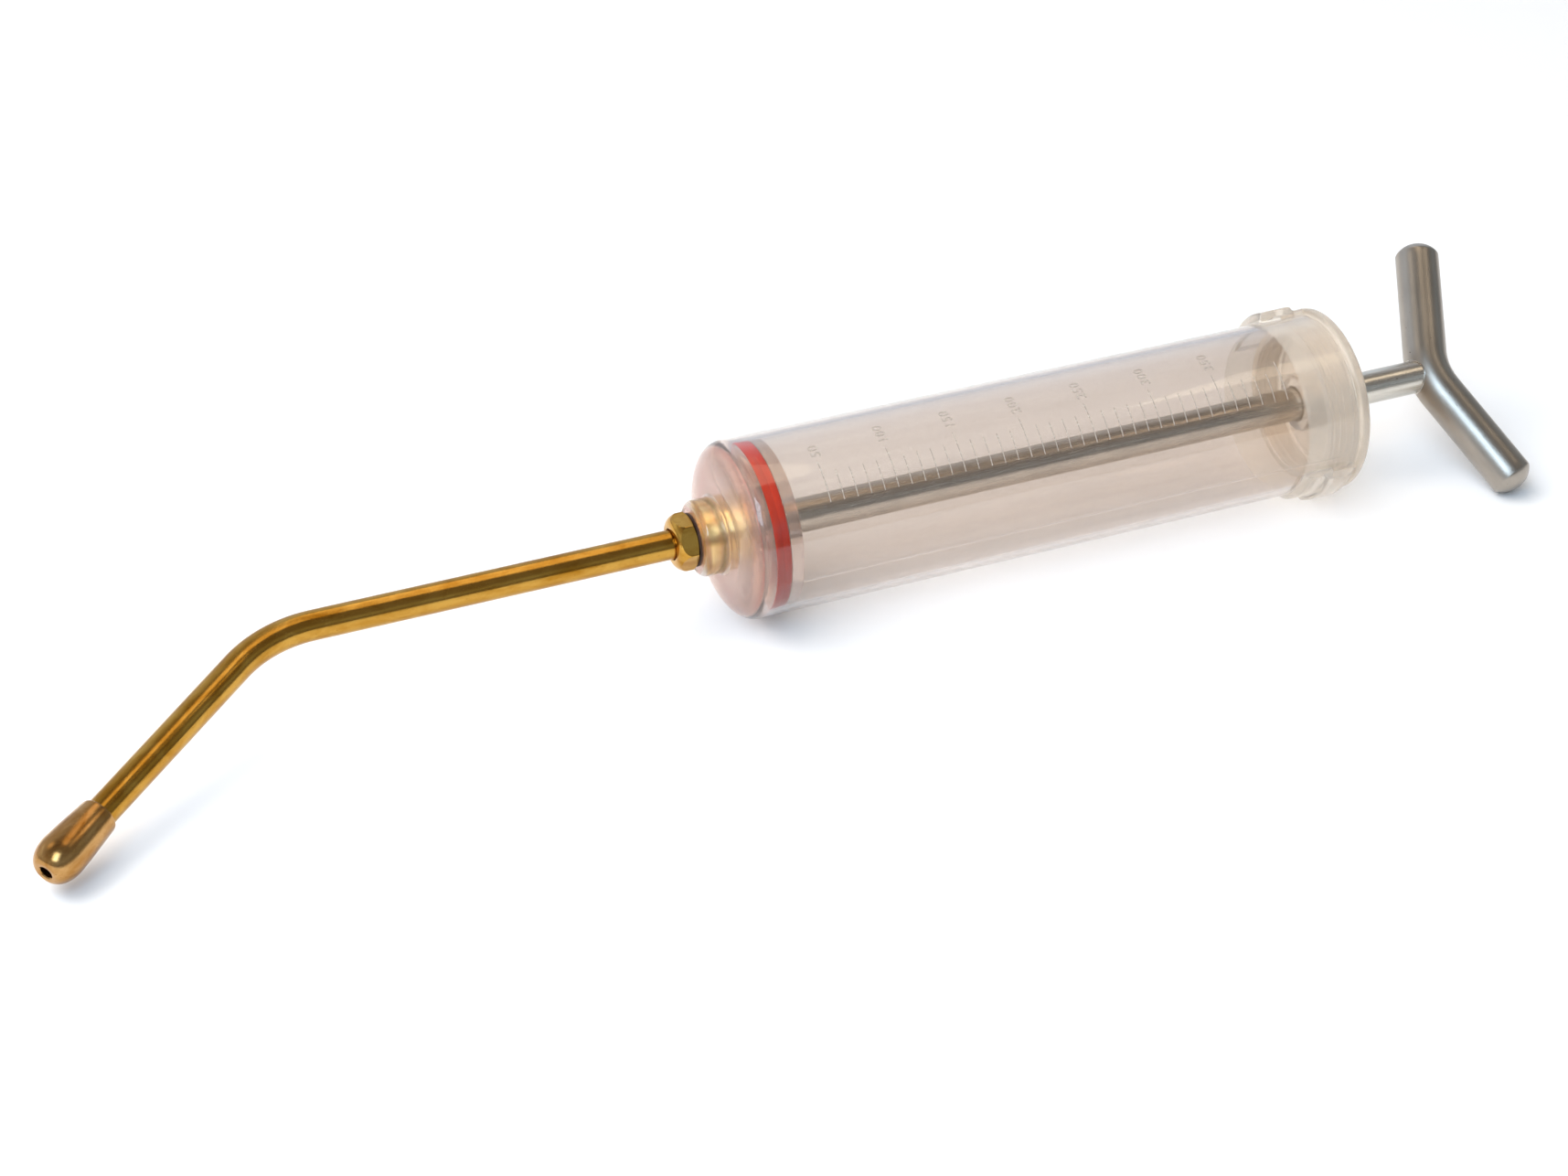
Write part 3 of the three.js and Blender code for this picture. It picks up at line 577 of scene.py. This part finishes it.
def barrel_material(x, outer):
    """The plastic at x: clearest along the barrel, hazier at its moulded ends."""
    if not outer:
        return dome_inside if x < BORE_X - 0.01 else barrel_inside
    if x < WALL_OUTER_X - BOSS_FILLET:
        return boss_outside
    if x < SHOULDER_X - 0.01:
        return dome_outside
    return bulge_outside if x > BULGE_HEIGHTS[1][0][0] else barrel_outside


def barrel():
    """The barrel with its boss, rounded shoulder, mould seam, bayonet bulges and pockets."""
    edges = []
    for start in BULGE_STARTS:
        edges += [start + POCKET_ANGLES[0], start + POCKET_ANGLES[1], start + ENTRY_ANGLES[1]]
    angles = columns(2.0, edges)
    extra = [
        start + shift
        for start in BULGE_STARTS
        for shift in (*np.arange(0, 3.2, 0.5), *np.arange(BULGE_ANGLE - 3, BULGE_ANGLE + 0.2, 0.5))
    ]
    seam = [SEAM_ANGLE - SEAM_HALF_ANGLE, SEAM_ANGLE, SEAM_ANGLE + SEAM_HALF_ANGLE]
    angles = np.array(sorted(set(np.round(np.concatenate([angles, extra, seam]), 3))))
    keep = np.concatenate([[True], np.diff(angles) > 0.04])
    angles = angles[keep]
    raised = np.where(np.abs(angles - SEAM_ANGLE) < 0.05, SEAM_HEIGHT, 0.0)
    pocket = np.zeros(len(angles), bool)
    entry = np.zeros(len(angles), bool)
    for start in BULGE_STARTS:
        pocket |= within(angles, start + POCKET_ANGLES[0], start + POCKET_ANGLES[1])
        entry |= within(angles, start + ENTRY_ANGLES[0], start + ENTRY_ANGLES[1])

    outside = [
        *corner(BOSS_FACE_X + BOSS_EDGE, BOSS_RADIUS - BOSS_EDGE, BOSS_EDGE, BOSS_EDGE, 180, 90),
        *corner(
            WALL_OUTER_X - BOSS_FILLET, BOSS_RADIUS + BOSS_FILLET, BOSS_FILLET, BOSS_FILLET, 270, 360
        ),
        *corner(
            SHOULDER_X,
            SHOULDER_RADIUS,
            SHOULDER_X - WALL_OUTER_X,
            BARREL_RADIUS - SHOULDER_RADIUS,
            180,
            90,
            24,
        ),
    ]
    plain = (3, 10, 30, 60, 90, 120, 150, 180)
    stepped = np.arange(187, BARREL_END_X - MOUTH_EDGE, 0.35)
    for x in (*plain, *stepped):
        outside.append((x, BARREL_RADIUS + raised + bulge(x, angles)))
    rim = BARREL_RADIUS + bulge(BARREL_END_X, angles)
    outside += [(BARREL_END_X - MOUTH_EDGE, rim), (BARREL_END_X, rim - MOUTH_EDGE)]

    opened = np.where(entry, POCKET_RADIUS, BORE_RADIUS)
    widened = np.where(pocket, POCKET_RADIUS, BORE_RADIUS)
    inside = [
        (BARREL_END_X, opened + MOUTH_EDGE),
        (BARREL_END_X - MOUTH_EDGE, opened),
        (POCKET_X[1] + 0.05, opened),
        (POCKET_X[1], widened),
        (POCKET_X[0] + 0.05, widened),
        (POCKET_X[0], BORE_RADIUS),
    ]
    inside += [(x, BORE_RADIUS) for x in (190, 160, 130, 100, 70, 40, 20, 8)]
    inside += corner(
        BORE_X, SHOULDER_RADIUS, BORE_X - WALL_INNER_X, BORE_RADIUS - SHOULDER_RADIUS, 90, 180, 16
    )
    inside += [(WALL_INNER_X, SPIGOT_CLEAR_RADIUS), (BOSS_FACE_X, SPIGOT_CLEAR_RADIUS)]
    plastics = [barrel_outside, barrel_inside, dome_outside, dome_inside]
    plastics += [bulge_outside, boss_outside]
    slots = [plastics.index(barrel_material(x, True)) for x, _ in outside]
    slots += [plastics.index(barrel_material(x, False)) for x, _ in inside]
    return turned("barrel_shell", outside + inside, plastics, around=angles, slot_of=slots)


show(barrel(), "barrel_body", "barrel", slot="clear_plastic")


# ---- Scale --------------------------------------------------------------------------------------
MARK_VOLUME = 10
MARKS = range(5, 41)
MARKS_TO_A_LONG_ONE = 5
NUMBERS = range(50, 400, 50)
MARK_NEAR_ANGLE = 142.3
SHORT_MARK_ANGLE = 122.5
LONG_MARK_ANGLE = 115.0
MARK_WIDTH = 0.34
MARK_HEIGHT = 0.14
MARK_LIFT = 0.01  # marks and digits start this far out of the barrel
MARK_STEPS = 16
DIGIT_SIZE = 4.76
DIGIT_SPACING = 1.12
DIGIT_GAP_ANGLE = 3.5
NUMBER_SHIFT = 0.5


def scale():
    """Raised marks every 10 ml, longer every 50 ml."""
    points, faces = [], []
    for mark in MARKS:
        x = mark * MARK_PITCH
        far = LONG_MARK_ANGLE if mark % MARKS_TO_A_LONG_ONE == 0 else SHORT_MARK_ANGLE
        turns = np.radians(np.linspace(MARK_NEAR_ANGLE, far, MARK_STEPS))
        first = len(points)
        section = (
            (-MARK_WIDTH / 2, MARK_LIFT),
            (-MARK_WIDTH / 3, MARK_HEIGHT),
            (MARK_WIDTH / 3, MARK_HEIGHT),
            (MARK_WIDTH / 2, MARK_LIFT),
        )
        for turn in turns:
            for shift, height in section:
                radius = BARREL_RADIUS + height
                points.append((x + shift, radius * math.cos(turn), radius * math.sin(turn)))
        for i in range(len(turns) - 1):
            for j in range(4):
                a, b = first + i * 4 + j, first + i * 4 + (j + 1) % 4
                faces.append((a, b, b + 4, a + 4))
        faces.append(tuple(first + j for j in range(4)))
        faces.append(tuple(len(points) - 1 - j for j in range(4)))
    return finished("scale_marks", points, points, faces, [0] * len(faces), [mark_plastic])


def number(value, x):
    """A raised number, read upwards round the barrel, with its first digit next to the mark."""
    curve = bpy.data.curves.new(f"number_{value}", "FONT")
    curve.body = str(value)
    curve.size = DIGIT_SIZE
    curve.extrude = MARK_HEIGHT / 2
    curve.resolution_u = 3
    curve.space_character = DIGIT_SPACING
    text = bpy.data.objects.new(f"text_{value}", curve)
    bpy.context.scene.collection.objects.link(text)
    bpy.context.view_layer.update()
    state = bpy.context.evaluated_depsgraph_get()
    mesh = bpy.data.meshes.new_from_object(text.evaluated_get(state))
    bpy.data.objects.remove(text)
    start = LONG_MARK_ANGLE - DIGIT_GAP_ANGLE
    work = bmesh.new()
    work.from_mesh(mesh)
    bmesh.ops.remove_doubles(work, verts=work.verts, dist=1e-5)
    middle = (min(v.co.y for v in work.verts) + max(v.co.y for v in work.verts)) / 2
    points = []
    for v in work.verts:
        turn = math.radians(start) - v.co.x / BARREL_RADIUS
        radius = BARREL_RADIUS + MARK_LIFT + MARK_HEIGHT / 2 + v.co.z
        along = x + NUMBER_SHIFT - (v.co.y - middle)
        points.append((along, radius * math.cos(turn), radius * math.sin(turn)))
    faces = [tuple(v.index for v in face.verts) for face in work.faces]
    work.free()
    return finished(f"number_{value}", points, points, faces, [0] * len(faces), [mark_plastic])


show(scale(), "barrel_body", slot="clear_plastic")
for volume in NUMBERS:
    place = volume / MARK_VOLUME * MARK_PITCH
    show(number(volume, place), "barrel_body", slot="clear_plastic")


# ---- Spigot, gasket, gland nut, washer ----------------------------------------------------------
spigot_profile = [
    (SPIGOT_FRONT_X, STEM_CLEAR_RADIUS),
    (SPIGOT_FRONT_X, SPIGOT_RADIUS - SPIGOT_EDGE),
    (SPIGOT_FRONT_X + SPIGOT_EDGE, SPIGOT_RADIUS),
    (FLANGE_X[0], SPIGOT_RADIUS),
    (FLANGE_X[0], FLANGE_RADIUS - 0.2),
    (FLANGE_X[0] + 0.2, FLANGE_RADIUS),
    (FLANGE_X[1] - SPIGOT_EDGE, FLANGE_RADIUS),
    (FLANGE_X[1], FLANGE_RADIUS - SPIGOT_EDGE),
    (FLANGE_X[1], DUCT_RADIUS),
    (SEAT_X, DUCT_RADIUS),
    (SEAT_X, STEM_CLEAR_RADIUS),
]
spigot = turned("spigot_insert", spigot_profile, [brass_insert], AROUND_SMALL)
show(spigot, "barrel_body", "spigot", slot="brass")
gasket = washer("fibre_gasket", fibre, (-3.5, -2.9), SPIGOT_CLEAR_RADIUS, FLANGE_RADIUS, 0.1)
show(gasket, "barrel_body", "spigot_gasket", slot="fibre")
dust_washer = washer("nozzle_dust_washer", dark_rubber, (-14.5, -13.9), STEM_CLEAR_RADIUS, 8.5, 0.15)
show(dust_washer, "barrel_body", "dust_washer", slot="dark_rubber")


def gland_nut():
    """A hexagon with a rounded nose. Each column starts and ends its flat where the nose and the
    chamfer cut it, which draws the arcs on the flats."""
    angles = np.arange(0, 360, 1.25)
    from_flat = angles % 60 - 30
    corner_radius = NUT_ACROSS_FLATS / 2 / math.cos(math.pi / 6)
    flat = NUT_ACROSS_FLATS / 2 / np.cos(np.radians(from_flat))
    flat = np.minimum(flat, corner_radius - 0.06)
    rise = corner_radius - NUT_NOSE_RADIUS
    reach = np.arcsin(np.clip((flat - NUT_NOSE_RADIUS) / rise, 0, 1))
    nose_x = NUT_FRONT_X + NUT_NOSE_LENGTH
    profile = [(NUT_FRONT_X + 0.2, TUBE_CLEAR_RADIUS), (NUT_FRONT_X, TUBE_CLEAR_RADIUS + 0.15)]
    for share in np.linspace(0, 1, 15):
        a = reach * share
        profile.append((nose_x - NUT_NOSE_LENGTH * np.cos(a), NUT_NOSE_RADIUS + rise * np.sin(a)))
    cut = nose_x - NUT_NOSE_LENGTH * np.cos(reach)
    chamfer = NUT_REAR_X - NUT_CHAMFER + (corner_radius - flat) / 2
    for share in (0.04, 0.35, 0.65, 0.96, 1.0):
        profile.append((cut + (chamfer - cut) * share, flat))
    profile += [
        (NUT_REAR_X, np.full(len(angles), corner_radius - 2 * NUT_CHAMFER)),
        (NUT_REAR_X, STEM_RADIUS),
        (STEM_END_X - 0.3, STEM_RADIUS),
        (STEM_END_X, STEM_RADIUS - 0.3),
        (STEM_END_X, TUBE_CLEAR_RADIUS),
    ]
    return turned("hex_gland_nut", profile, [brass_turned], around=angles, sharp=NUT_SHARP_ANGLE)


show(gland_nut(), "nut", "gland_nut", slot="brass")

# ---- Nozzle -------------------------------------------------------------------------------------
collar = washer("brazed_collar", brass_turned, (-9.5, -7.5), 4.8, STEM_RADIUS, 0.2)
show(collar, "nozzle", "tube_collar", slot="brass")
seat_seal = washer("nozzle_seat_seal", dark_rubber, (-7.4, -6.2), DUCT_RADIUS, STEM_RADIUS, 0.15)
show(seat_seal, "nozzle", "nozzle_seal", slot="dark_rubber")

bend, droop = math.radians(BEND_ANGLE), math.radians(BEND_DROOP)
meeting = np.array([BEND_X, 0.0, 0.0])
outward = np.array(
    [-math.cos(bend), -math.sin(bend) * math.cos(droop), -math.sin(bend) * math.sin(droop)]
)
blunt_end = meeting + outward * NOZZLE_REACH
tube_end = blunt_end + outward * (TIP_SOCKET_DEPTH - TIP_LENGTH)
tube_path, tube_directions = bent_path(
    np.array([TUBE_END_X, 0.0, 0.0]), meeting, tube_end, BEND_RADIUS, 48
)
last = len(tube_path) - 1
tube_rings = [(i, TUBE_RADIUS, 0.0) for i in range(last + 1)]
tube_rings += [(i, TUBE_BORE_RADIUS, 0.0) for i in range(last, -1, -1)]
tube = swept("bent_tube", tube_path, tube_directions, tube_rings, [brass_tube], 72, closed=True)
show(tube, "nozzle", "nozzle_tube", slot="brass")


def nozzle_tip():
    """Turned about its own axis, from the blunt end, then laid along the tube."""
    face = ORIFICE_RADIUS + ORIFICE_RIM
    floor = TIP_LENGTH - TIP_SOCKET_DEPTH - 0.3
    profile = [
        (0.45, ORIFICE_RADIUS),
        (0.12, ORIFICE_RADIUS + 0.25),
        *corner(TIP_NOSE, face, TIP_NOSE, TIP_RADIUS - face, 178, 90, 24),
        (TIP_LENGTH * 0.5, TIP_RADIUS - 0.28),
        (TIP_LENGTH - 1.0, TIP_REAR_RADIUS + 0.12),
        *corner(TIP_LENGTH - 0.6, TIP_REAR_RADIUS - 0.6, 0.6, 0.6, 84, 0, 6),
        (TIP_LENGTH, TUBE_CLEAR_RADIUS),
        (floor, TUBE_CLEAR_RADIUS),
        (floor, ORIFICE_RADIUS),
    ]
    piece = turned("blunt_tip", profile, [brass_tip], AROUND_SMALL)
    turn = Vector((-1, 0, 0)).rotation_difference(Vector(outward)).to_matrix().to_4x4()
    place = Matrix.Translation(ZERO + Vector(blunt_end) * MM) @ turn @ Matrix.Translation(-ZERO)
    piece.data.transform(place)
    return piece


show(nozzle_tip(), "nozzle", "nozzle_tip", slot="brass")

# ---- Piston -------------------------------------------------------------------------------------
front_disc_profile = [
    (0.0, NUT_RECESS_RADIUS + 0.2),
    *corner(DISC_EDGE, DISC_RADIUS - DISC_EDGE, DISC_EDGE, DISC_EDGE, 180, 90, 6),
    (SEAL_SEAT_X[0], DISC_RADIUS),
    (SEAL_SEAT_X[0], SEAL_SEAT_RADIUS),
    (SEAL_SEAT_X[1], SEAL_SEAT_RADIUS),
    (SEAL_SEAT_X[1], DISC_HOLE_RADIUS),
    (NUT_RECESS_X, DISC_HOLE_RADIUS),
    (NUT_RECESS_X, NUT_RECESS_RADIUS),
    (0.3, NUT_RECESS_RADIUS),
]
front_disc = turned("piston_front_disc", front_disc_profile, [disc_plastic])
show(front_disc, "plunger", "front_disc", slot="clear_plastic")
rear_disc_profile = [
    (REAR_DISC_X[0], DISC_HOLE_RADIUS),
    (REAR_DISC_X[0], DISC_RADIUS - 0.2),
    (REAR_DISC_X[0] + 0.2, DISC_RADIUS),
    *corner(REAR_DISC_X[1] - DISC_EDGE, DISC_RADIUS - DISC_EDGE, DISC_EDGE, DISC_EDGE, 90, 0, 6),
    (REAR_DISC_X[1], DISC_HOLE_RADIUS),
]
rear_disc = turned("piston_rear_disc", rear_disc_profile, [disc_plastic])
show(rear_disc, "plunger", "rear_disc", slot="clear_plastic")
seal_middle = (SEAL_X[0] + SEAL_X[1]) / 2
seal_profile = [
    (SEAL_X[0], SEAL_INNER_RADIUS),
    (SEAL_X[0], SEAL_RADIUS - SEAL_EDGE),
    *corner(SEAL_X[0] + SEAL_EDGE, SEAL_RADIUS - SEAL_EDGE, SEAL_EDGE, SEAL_EDGE, 180, 90, 5),
    (seal_middle - 0.3, SEAL_RADIUS),
    (seal_middle, SEAL_RADIUS - SEAL_WAIST),
    (seal_middle + 0.3, SEAL_RADIUS),
    *corner(SEAL_X[1] - SEAL_EDGE, SEAL_RADIUS - SEAL_EDGE, SEAL_EDGE, SEAL_EDGE, 90, 0, 5),
    (SEAL_X[1], SEAL_INNER_RADIUS),
]
seal = turned("piston_seal_ring", seal_profile, [seal_red])
show(seal, "seal", "seal_ring", slot="seal_red")
piston_washer = washer("piston_flat_washer", steel_turned, (4.6, 5.6), DISC_HOLE_RADIUS, 8.0, 0.15)
show(piston_washer, "plunger", "piston_washer", slot="steel")


def piston_nut():
    """A plain hexagon nut, chamfered at both faces."""
    angles = np.arange(0, 360, 2.0)
    from_flat = (angles + 30) % 60 - 30
    flat = PISTON_NUT_ACROSS_FLATS / 2 / np.cos(np.radians(from_flat))
    face = np.minimum(flat, PISTON_NUT_FACE_RADIUS)
    chamfer = np.maximum(flat - PISTON_NUT_FACE_RADIUS, 0) * 0.6 + 0.01
    front, rear = PISTON_NUT_X
    profile = [
        (front, DISC_HOLE_RADIUS),
        (front, DISC_HOLE_RADIUS + 0.6),
        (front, face),
        (front + chamfer, flat),
        (rear - chamfer, flat),
        (rear, face),
        (rear, DISC_HOLE_RADIUS),
    ]
    return turned("piston_hex_nut", profile, [steel_turned], around=angles, sharp=NUT_SHARP_ANGLE)


show(piston_nut(), "plunger", "piston_nut", slot="steel")

# ---- Rod and handle -----------------------------------------------------------------------------
roll = math.radians(HANDLE_ROLL)
sweep = math.radians(HANDLE_SWEEP)
bar_x = HANDLE_X + HANDLE_BEND_RADIUS * (1 / math.cos(sweep) - 1)


def rolled(x, y, z):
    """A point in the handle's plane, turned with the handle about the axis."""
    cosine, sine = math.cos(roll), math.sin(roll)
    return np.array([x, y * cosine - z * sine, y * sine + z * cosine])


def saddle_x(y, z, radius):
    """Where the front of the bar, or of a bar of another radius, is at (y, z) in its plane."""
    reach = HANDLE_BEND_RADIUS + np.sqrt(radius * radius - z * z)
    return bar_x + HANDLE_BEND_RADIUS - np.sqrt(reach * reach - y * y)


def plunger_rod():
    """The rod, threaded through the piston, and cut at its rear to fit the handle's bar."""
    angles = np.arange(0, 360, 360 / AROUND_SMALL)
    local = np.radians(angles) - roll
    profile = [
        (ROD_END_X, 0.0),
        (ROD_END_X, THREAD_RADIUS - ROD_EDGE),
        (ROD_END_X + ROD_EDGE, THREAD_RADIUS),
        (ROD_SHOULDER_X, THREAD_RADIUS),
        (ROD_SHOULDER_X, ROD_RADIUS - ROD_EDGE),
        (ROD_SHOULDER_X + ROD_EDGE, ROD_RADIUS),
    ]
    profile += [(x, ROD_RADIUS) for x in np.linspace(20, 236, 19)]
    for radius in (ROD_RADIUS, ROD_RADIUS * 0.6, ROD_RADIUS * 0.3, 0.0):
        reach = saddle_x(radius * np.cos(local), radius * np.sin(local), HANDLE_RADIUS + 0.02)
        profile.append((reach, np.full(len(angles), radius)))
    return turned("plunger_shaft", profile, [steel_rod], around=angles, closed=False)


show(plunger_rod(), "plunger", "plunger_rod", slot="steel")


def joint_bead():
    """The thin brazed line where the rod meets the bar."""
    turns = np.radians(np.arange(0, 360, 3.0))
    section = np.radians(np.arange(0, 360, 36.0))
    rows = []
    for turn in turns:
        out = np.array([0.0, math.cos(turn), math.sin(turn)])
        base = out * (ROD_RADIUS + 0.04)
        x = saddle_x(base[1], base[2], HANDLE_RADIUS + 0.04)
        centre = np.array([x, base[1], base[2]])
        forward = np.array([-0.8, 0, 0])
        ring = [centre + BEAD_RADIUS * (math.cos(a) * out + math.sin(a) * forward) for a in section]
        rows.append([rolled(*point) for point in ring])
    faces = grid(rows, True)
    points = np.concatenate([np.array(row) for row in rows])
    return finished("joint_bead", points, points, faces, [0] * len(faces), [steel_turned])


show(joint_bead(), "plunger", slot="steel")


def handle():
    """The bent bar with a dome at each end."""
    ends = [
        np.array([HANDLE_X, 0, 0])
        + rolled(HANDLE_ARM * math.sin(sweep), side * HANDLE_ARM * math.cos(sweep), 0.0)
        for side in (1, -1)
    ]
    path, directions = bent_path(
        ends[0], np.array([HANDLE_X, 0.0, 0.0]), ends[1], HANDLE_BEND_RADIUS, 32
    )
    end = len(path) - 1
    shares = np.linspace(0, 1, 15) ** 1.3
    widths = HANDLE_RADIUS * np.sqrt(1 - shares**DOME_FULLNESS)
    heights = list(zip(HANDLE_DOME * shares, widths))
    start_rings = [(0, radius, HANDLE_DOME - height) for height, radius in reversed(heights)]
    end_rings = [(end, radius, height - HANDLE_DOME) for height, radius in heights]
    rings = start_rings + [(i, HANDLE_RADIUS, 0.0) for i in range(2, end - 1)] + end_rings
    return swept("handle_bar", path, directions, rings, [steel_handle], 84)


show(handle(), "plunger", "handle", slot="steel")


# ---- Cap ----------------------------------------------------------------------------------------
def cap():
    """The bayonet cap: grooved plug with two lugs, flange, and hub for the rod."""
    edges = []
    for start in BULGE_STARTS:
        edges += [start + LUG_ANGLES[0], start + LUG_ANGLES[1]]
    angles = columns(2.0, edges)
    lug = np.zeros(len(angles), bool)
    for start in BULGE_STARTS:
        lug |= within(angles, start + LUG_ANGLES[0], start + LUG_ANGLES[1])

    def ring(x, radius):
        """One ring of the plug, raised where it crosses the lugs."""
        inside = LUG_X[0] + 0.02 <= x <= LUG_X[1] - 0.02
        return (x, np.where(lug & inside, LUG_RADIUS, radius))

    profile = [
        (PLUG_X, PLUG_INNER_RADIUS + 0.4),
        (PLUG_X, PLUG_RADIUS - 0.7),
        (PLUG_X + 0.3, PLUG_RADIUS),
    ]
    stations = [(x, PLUG_RADIUS) for x in (LUG_X[0], LUG_X[0] + 0.03, LUG_X[1] - 0.03, LUG_X[1])]
    for x in GROOVE_X:
        end = x + GROOVE_WIDTH
        stations += [(x, PLUG_RADIUS), (x + GROOVE_SLOPE, PLUG_RADIUS - GROOVE_DEPTH)]
        stations += [(end - GROOVE_SLOPE, PLUG_RADIUS - GROOVE_DEPTH), (end, PLUG_RADIUS)]
    profile += [ring(x, radius) for x, radius in sorted(stations)]
    profile += [
        (CAP_FACE_X - 0.3, PLUG_RADIUS),
        (CAP_FACE_X, PLUG_RADIUS + 0.3),
        (CAP_FACE_X, CAP_RADIUS - 0.3),
        (CAP_FACE_X + 0.3, CAP_RADIUS),
        *corner(CAP_REAR_X - 2.2, CAP_RADIUS - 3.2, 2.2, 3.2, 90, 0, 16),
        (CAP_REAR_X, CAP_HOLE_RADIUS + 0.4),
        (CAP_REAR_X - 0.4, CAP_HOLE_RADIUS),
        (HUB_X + 0.3, CAP_HOLE_RADIUS),
        (HUB_X, CAP_HOLE_RADIUS + 0.3),
        (HUB_X, HUB_RADIUS - 0.6),
        (HUB_X + 0.6, HUB_RADIUS),
        *corner(CAP_FACE_X - 1.2, HUB_RADIUS + 1.2, 1.2, 1.2, 270, 360, 6),
        *corner(CAP_FACE_X - 1.2, PLUG_INNER_RADIUS - 1.2, 1.2, 1.2, 0, 90, 6),
        (PLUG_X + 0.4, PLUG_INNER_RADIUS),
    ]
    return turned("bayonet_cap", profile, [cap_plastic], around=angles)


show(cap(), "cap_body", "cap", slot="cap_plastic")

# ---- Floor, light and camera --------------------------------------------------------------------
FLOOR_REACH = 4.0
floor_mesh = bpy.data.meshes.new("floor")
floor_corners = [
    (-FLOOR_REACH, -FLOOR_REACH, 0),
    (FLOOR_REACH, -FLOOR_REACH, 0),
    (FLOOR_REACH, FLOOR_REACH, 0),
    (-FLOOR_REACH, FLOOR_REACH, 0),
]
floor_mesh.from_pydata(floor_corners, [], [(0, 1, 2, 3)])
floor = bpy.data.objects.new("floor", floor_mesh)
bpy.context.scene.collection.objects.link(floor)
floor_shader = Shader("floor_paper")
floor_shader.principled(Base_Color=(0.95, 0.95, 0.95), Roughness=0.9)
floor_mesh.materials.append(floor_shader.material)

world = bpy.data.worlds.new("studio")
bpy.context.scene.world = world
world.use_nodes = True
nodes, links = world.node_tree.nodes, world.node_tree.links
nodes.clear()


def sky_ramp(direction, *stops):
    """A colour for each value of one part of the direction, from 0 to 1."""
    ramp = nodes.new("ShaderNodeValToRGB")
    fill_ramp(ramp, stops)
    links.new(direction, ramp.inputs["Fac"])
    return ramp.outputs["Color"]


def added(first, second):
    """The sum of two colours."""
    both = nodes.new("ShaderNodeMix")
    both.data_type = "RGBA"
    both.blend_type = "ADD"
    both.inputs[0].default_value = 1.0
    links.new(first, both.inputs[6])
    links.new(second, both.inputs[7])
    return both.outputs[2]


coordinates = nodes.new("ShaderNodeTexCoord")
split = nodes.new("ShaderNodeSeparateXYZ")
links.new(coordinates.outputs["Generated"], split.inputs[0])
from_left = nodes.new("ShaderNodeMath")
from_left.operation = "MULTIPLY"
from_left.inputs[1].default_value = -1.0
links.new(split.outputs["X"], from_left.inputs[0])
room = sky_ramp(
    split.outputs["Z"],
    (0.0, (0.30, 0.27, 0.23)),
    (0.12, (0.20, 0.22, 0.24)),
    (0.4, (0.38, 0.43, 0.47)),
    (0.6, (0.22, 0.22, 0.22)),
    (1.0, (0.22, 0.20, 0.18)),
)
backdrop = sky_ramp(split.outputs["Y"], (0.3, (0.0, 0.0, 0.0)), (0.75, (0.44, 0.49, 0.58)))
left = sky_ramp(from_left.outputs[0], (0.3, (0.0, 0.0, 0.0)), (0.8, (0.26, 0.27, 0.29)))
background = nodes.new("ShaderNodeBackground")
links.new(added(added(room, backdrop), left), background.inputs["Color"])
world_out = nodes.new("ShaderNodeOutputWorld")
links.new(background.outputs[0], world_out.inputs["Surface"])


def softbox(name, place, aim, size, power, colour):
    """A rectangular lamp at a place, turned to its aim, with its power in watts."""
    light = bpy.data.lights.new(name, "AREA")
    light.shape = "RECTANGLE"
    light.size, light.size_y = size
    light.energy = power
    light.color = colour
    lamp = bpy.data.objects.new(name, light)
    bpy.context.scene.collection.objects.link(lamp)
    lamp.location = place
    lamp.rotation_euler = (Vector(aim) - Vector(place)).to_track_quat("-Z", "Y").to_euler()
    return lamp


# The top lamp lights the whole piece. The others are placed to show as highlights on the rod, the
# handle, the nozzle and the plastic.
top = softbox("top", (-0.75, 0.1, 1.4), (-0.1, 0.0, 0.0), (1.4, 1.4), 24, (1.0, 0.97, 0.94))
top.visible_glossy = False
softbox("strip", (0.33, 0.55, 1.5), (0.33, 0.55, 0.0), (0.4, 1.5), 2.6, (1.0, 0.84, 0.64))
softbox("glint", (1.07, -0.2, 1.5), (0.22, 0.0, 0.0), (0.4, 0.4), 0.9, (1.0, 0.86, 0.68))
softbox("crown", (-0.85, 0.6, 1.5), (0.25, 0.0, 0.0), (0.5, 0.5), 0.8, (1.0, 0.88, 0.72))
softbox("window", (-0.55, -0.9, 1.1), (0.25, 0.0, 0.0), (0.6, 0.85), 11, (0.56, 0.77, 1.0))

# The camera's place in the syringe's own frame, and its three directions.
CAMERA_PLACE = Vector((-344.486, -847.001, 572.849))
CAMERA_RIGHT = Vector((0.9198054, -0.39237486, 0.0))
CAMERA_UP = Vector((0.21383829, 0.50127985, 0.838447))
CAMERA_FORWARD = Vector((0.32898513, 0.77120716, -0.54498468))
camera_data = bpy.data.cameras.new("camera")
camera_data.sensor_width = 36
camera_data.lens = 79.77
camera = bpy.data.objects.new("camera", camera_data)
bpy.context.scene.collection.objects.link(camera)
axes = Matrix((CAMERA_RIGHT, CAMERA_UP, -CAMERA_FORWARD)).transposed()
camera.matrix_world = Matrix.Translation(ZERO + CAMERA_PLACE * MM) @ axes.to_4x4()
camera_data.clip_start, camera_data.clip_end = 0.01, 20
bpy.context.scene.camera = camera
bpy.context.scene.view_settings.view_transform = "Standard"

# Enough bounces for light to cross the walls, the discs and the cap in a row.
bpy.context.scene.cycles.max_bounces = 32
bpy.context.scene.cycles.transmission_bounces = 32
bpy.context.scene.cycles.glossy_bounces = 8
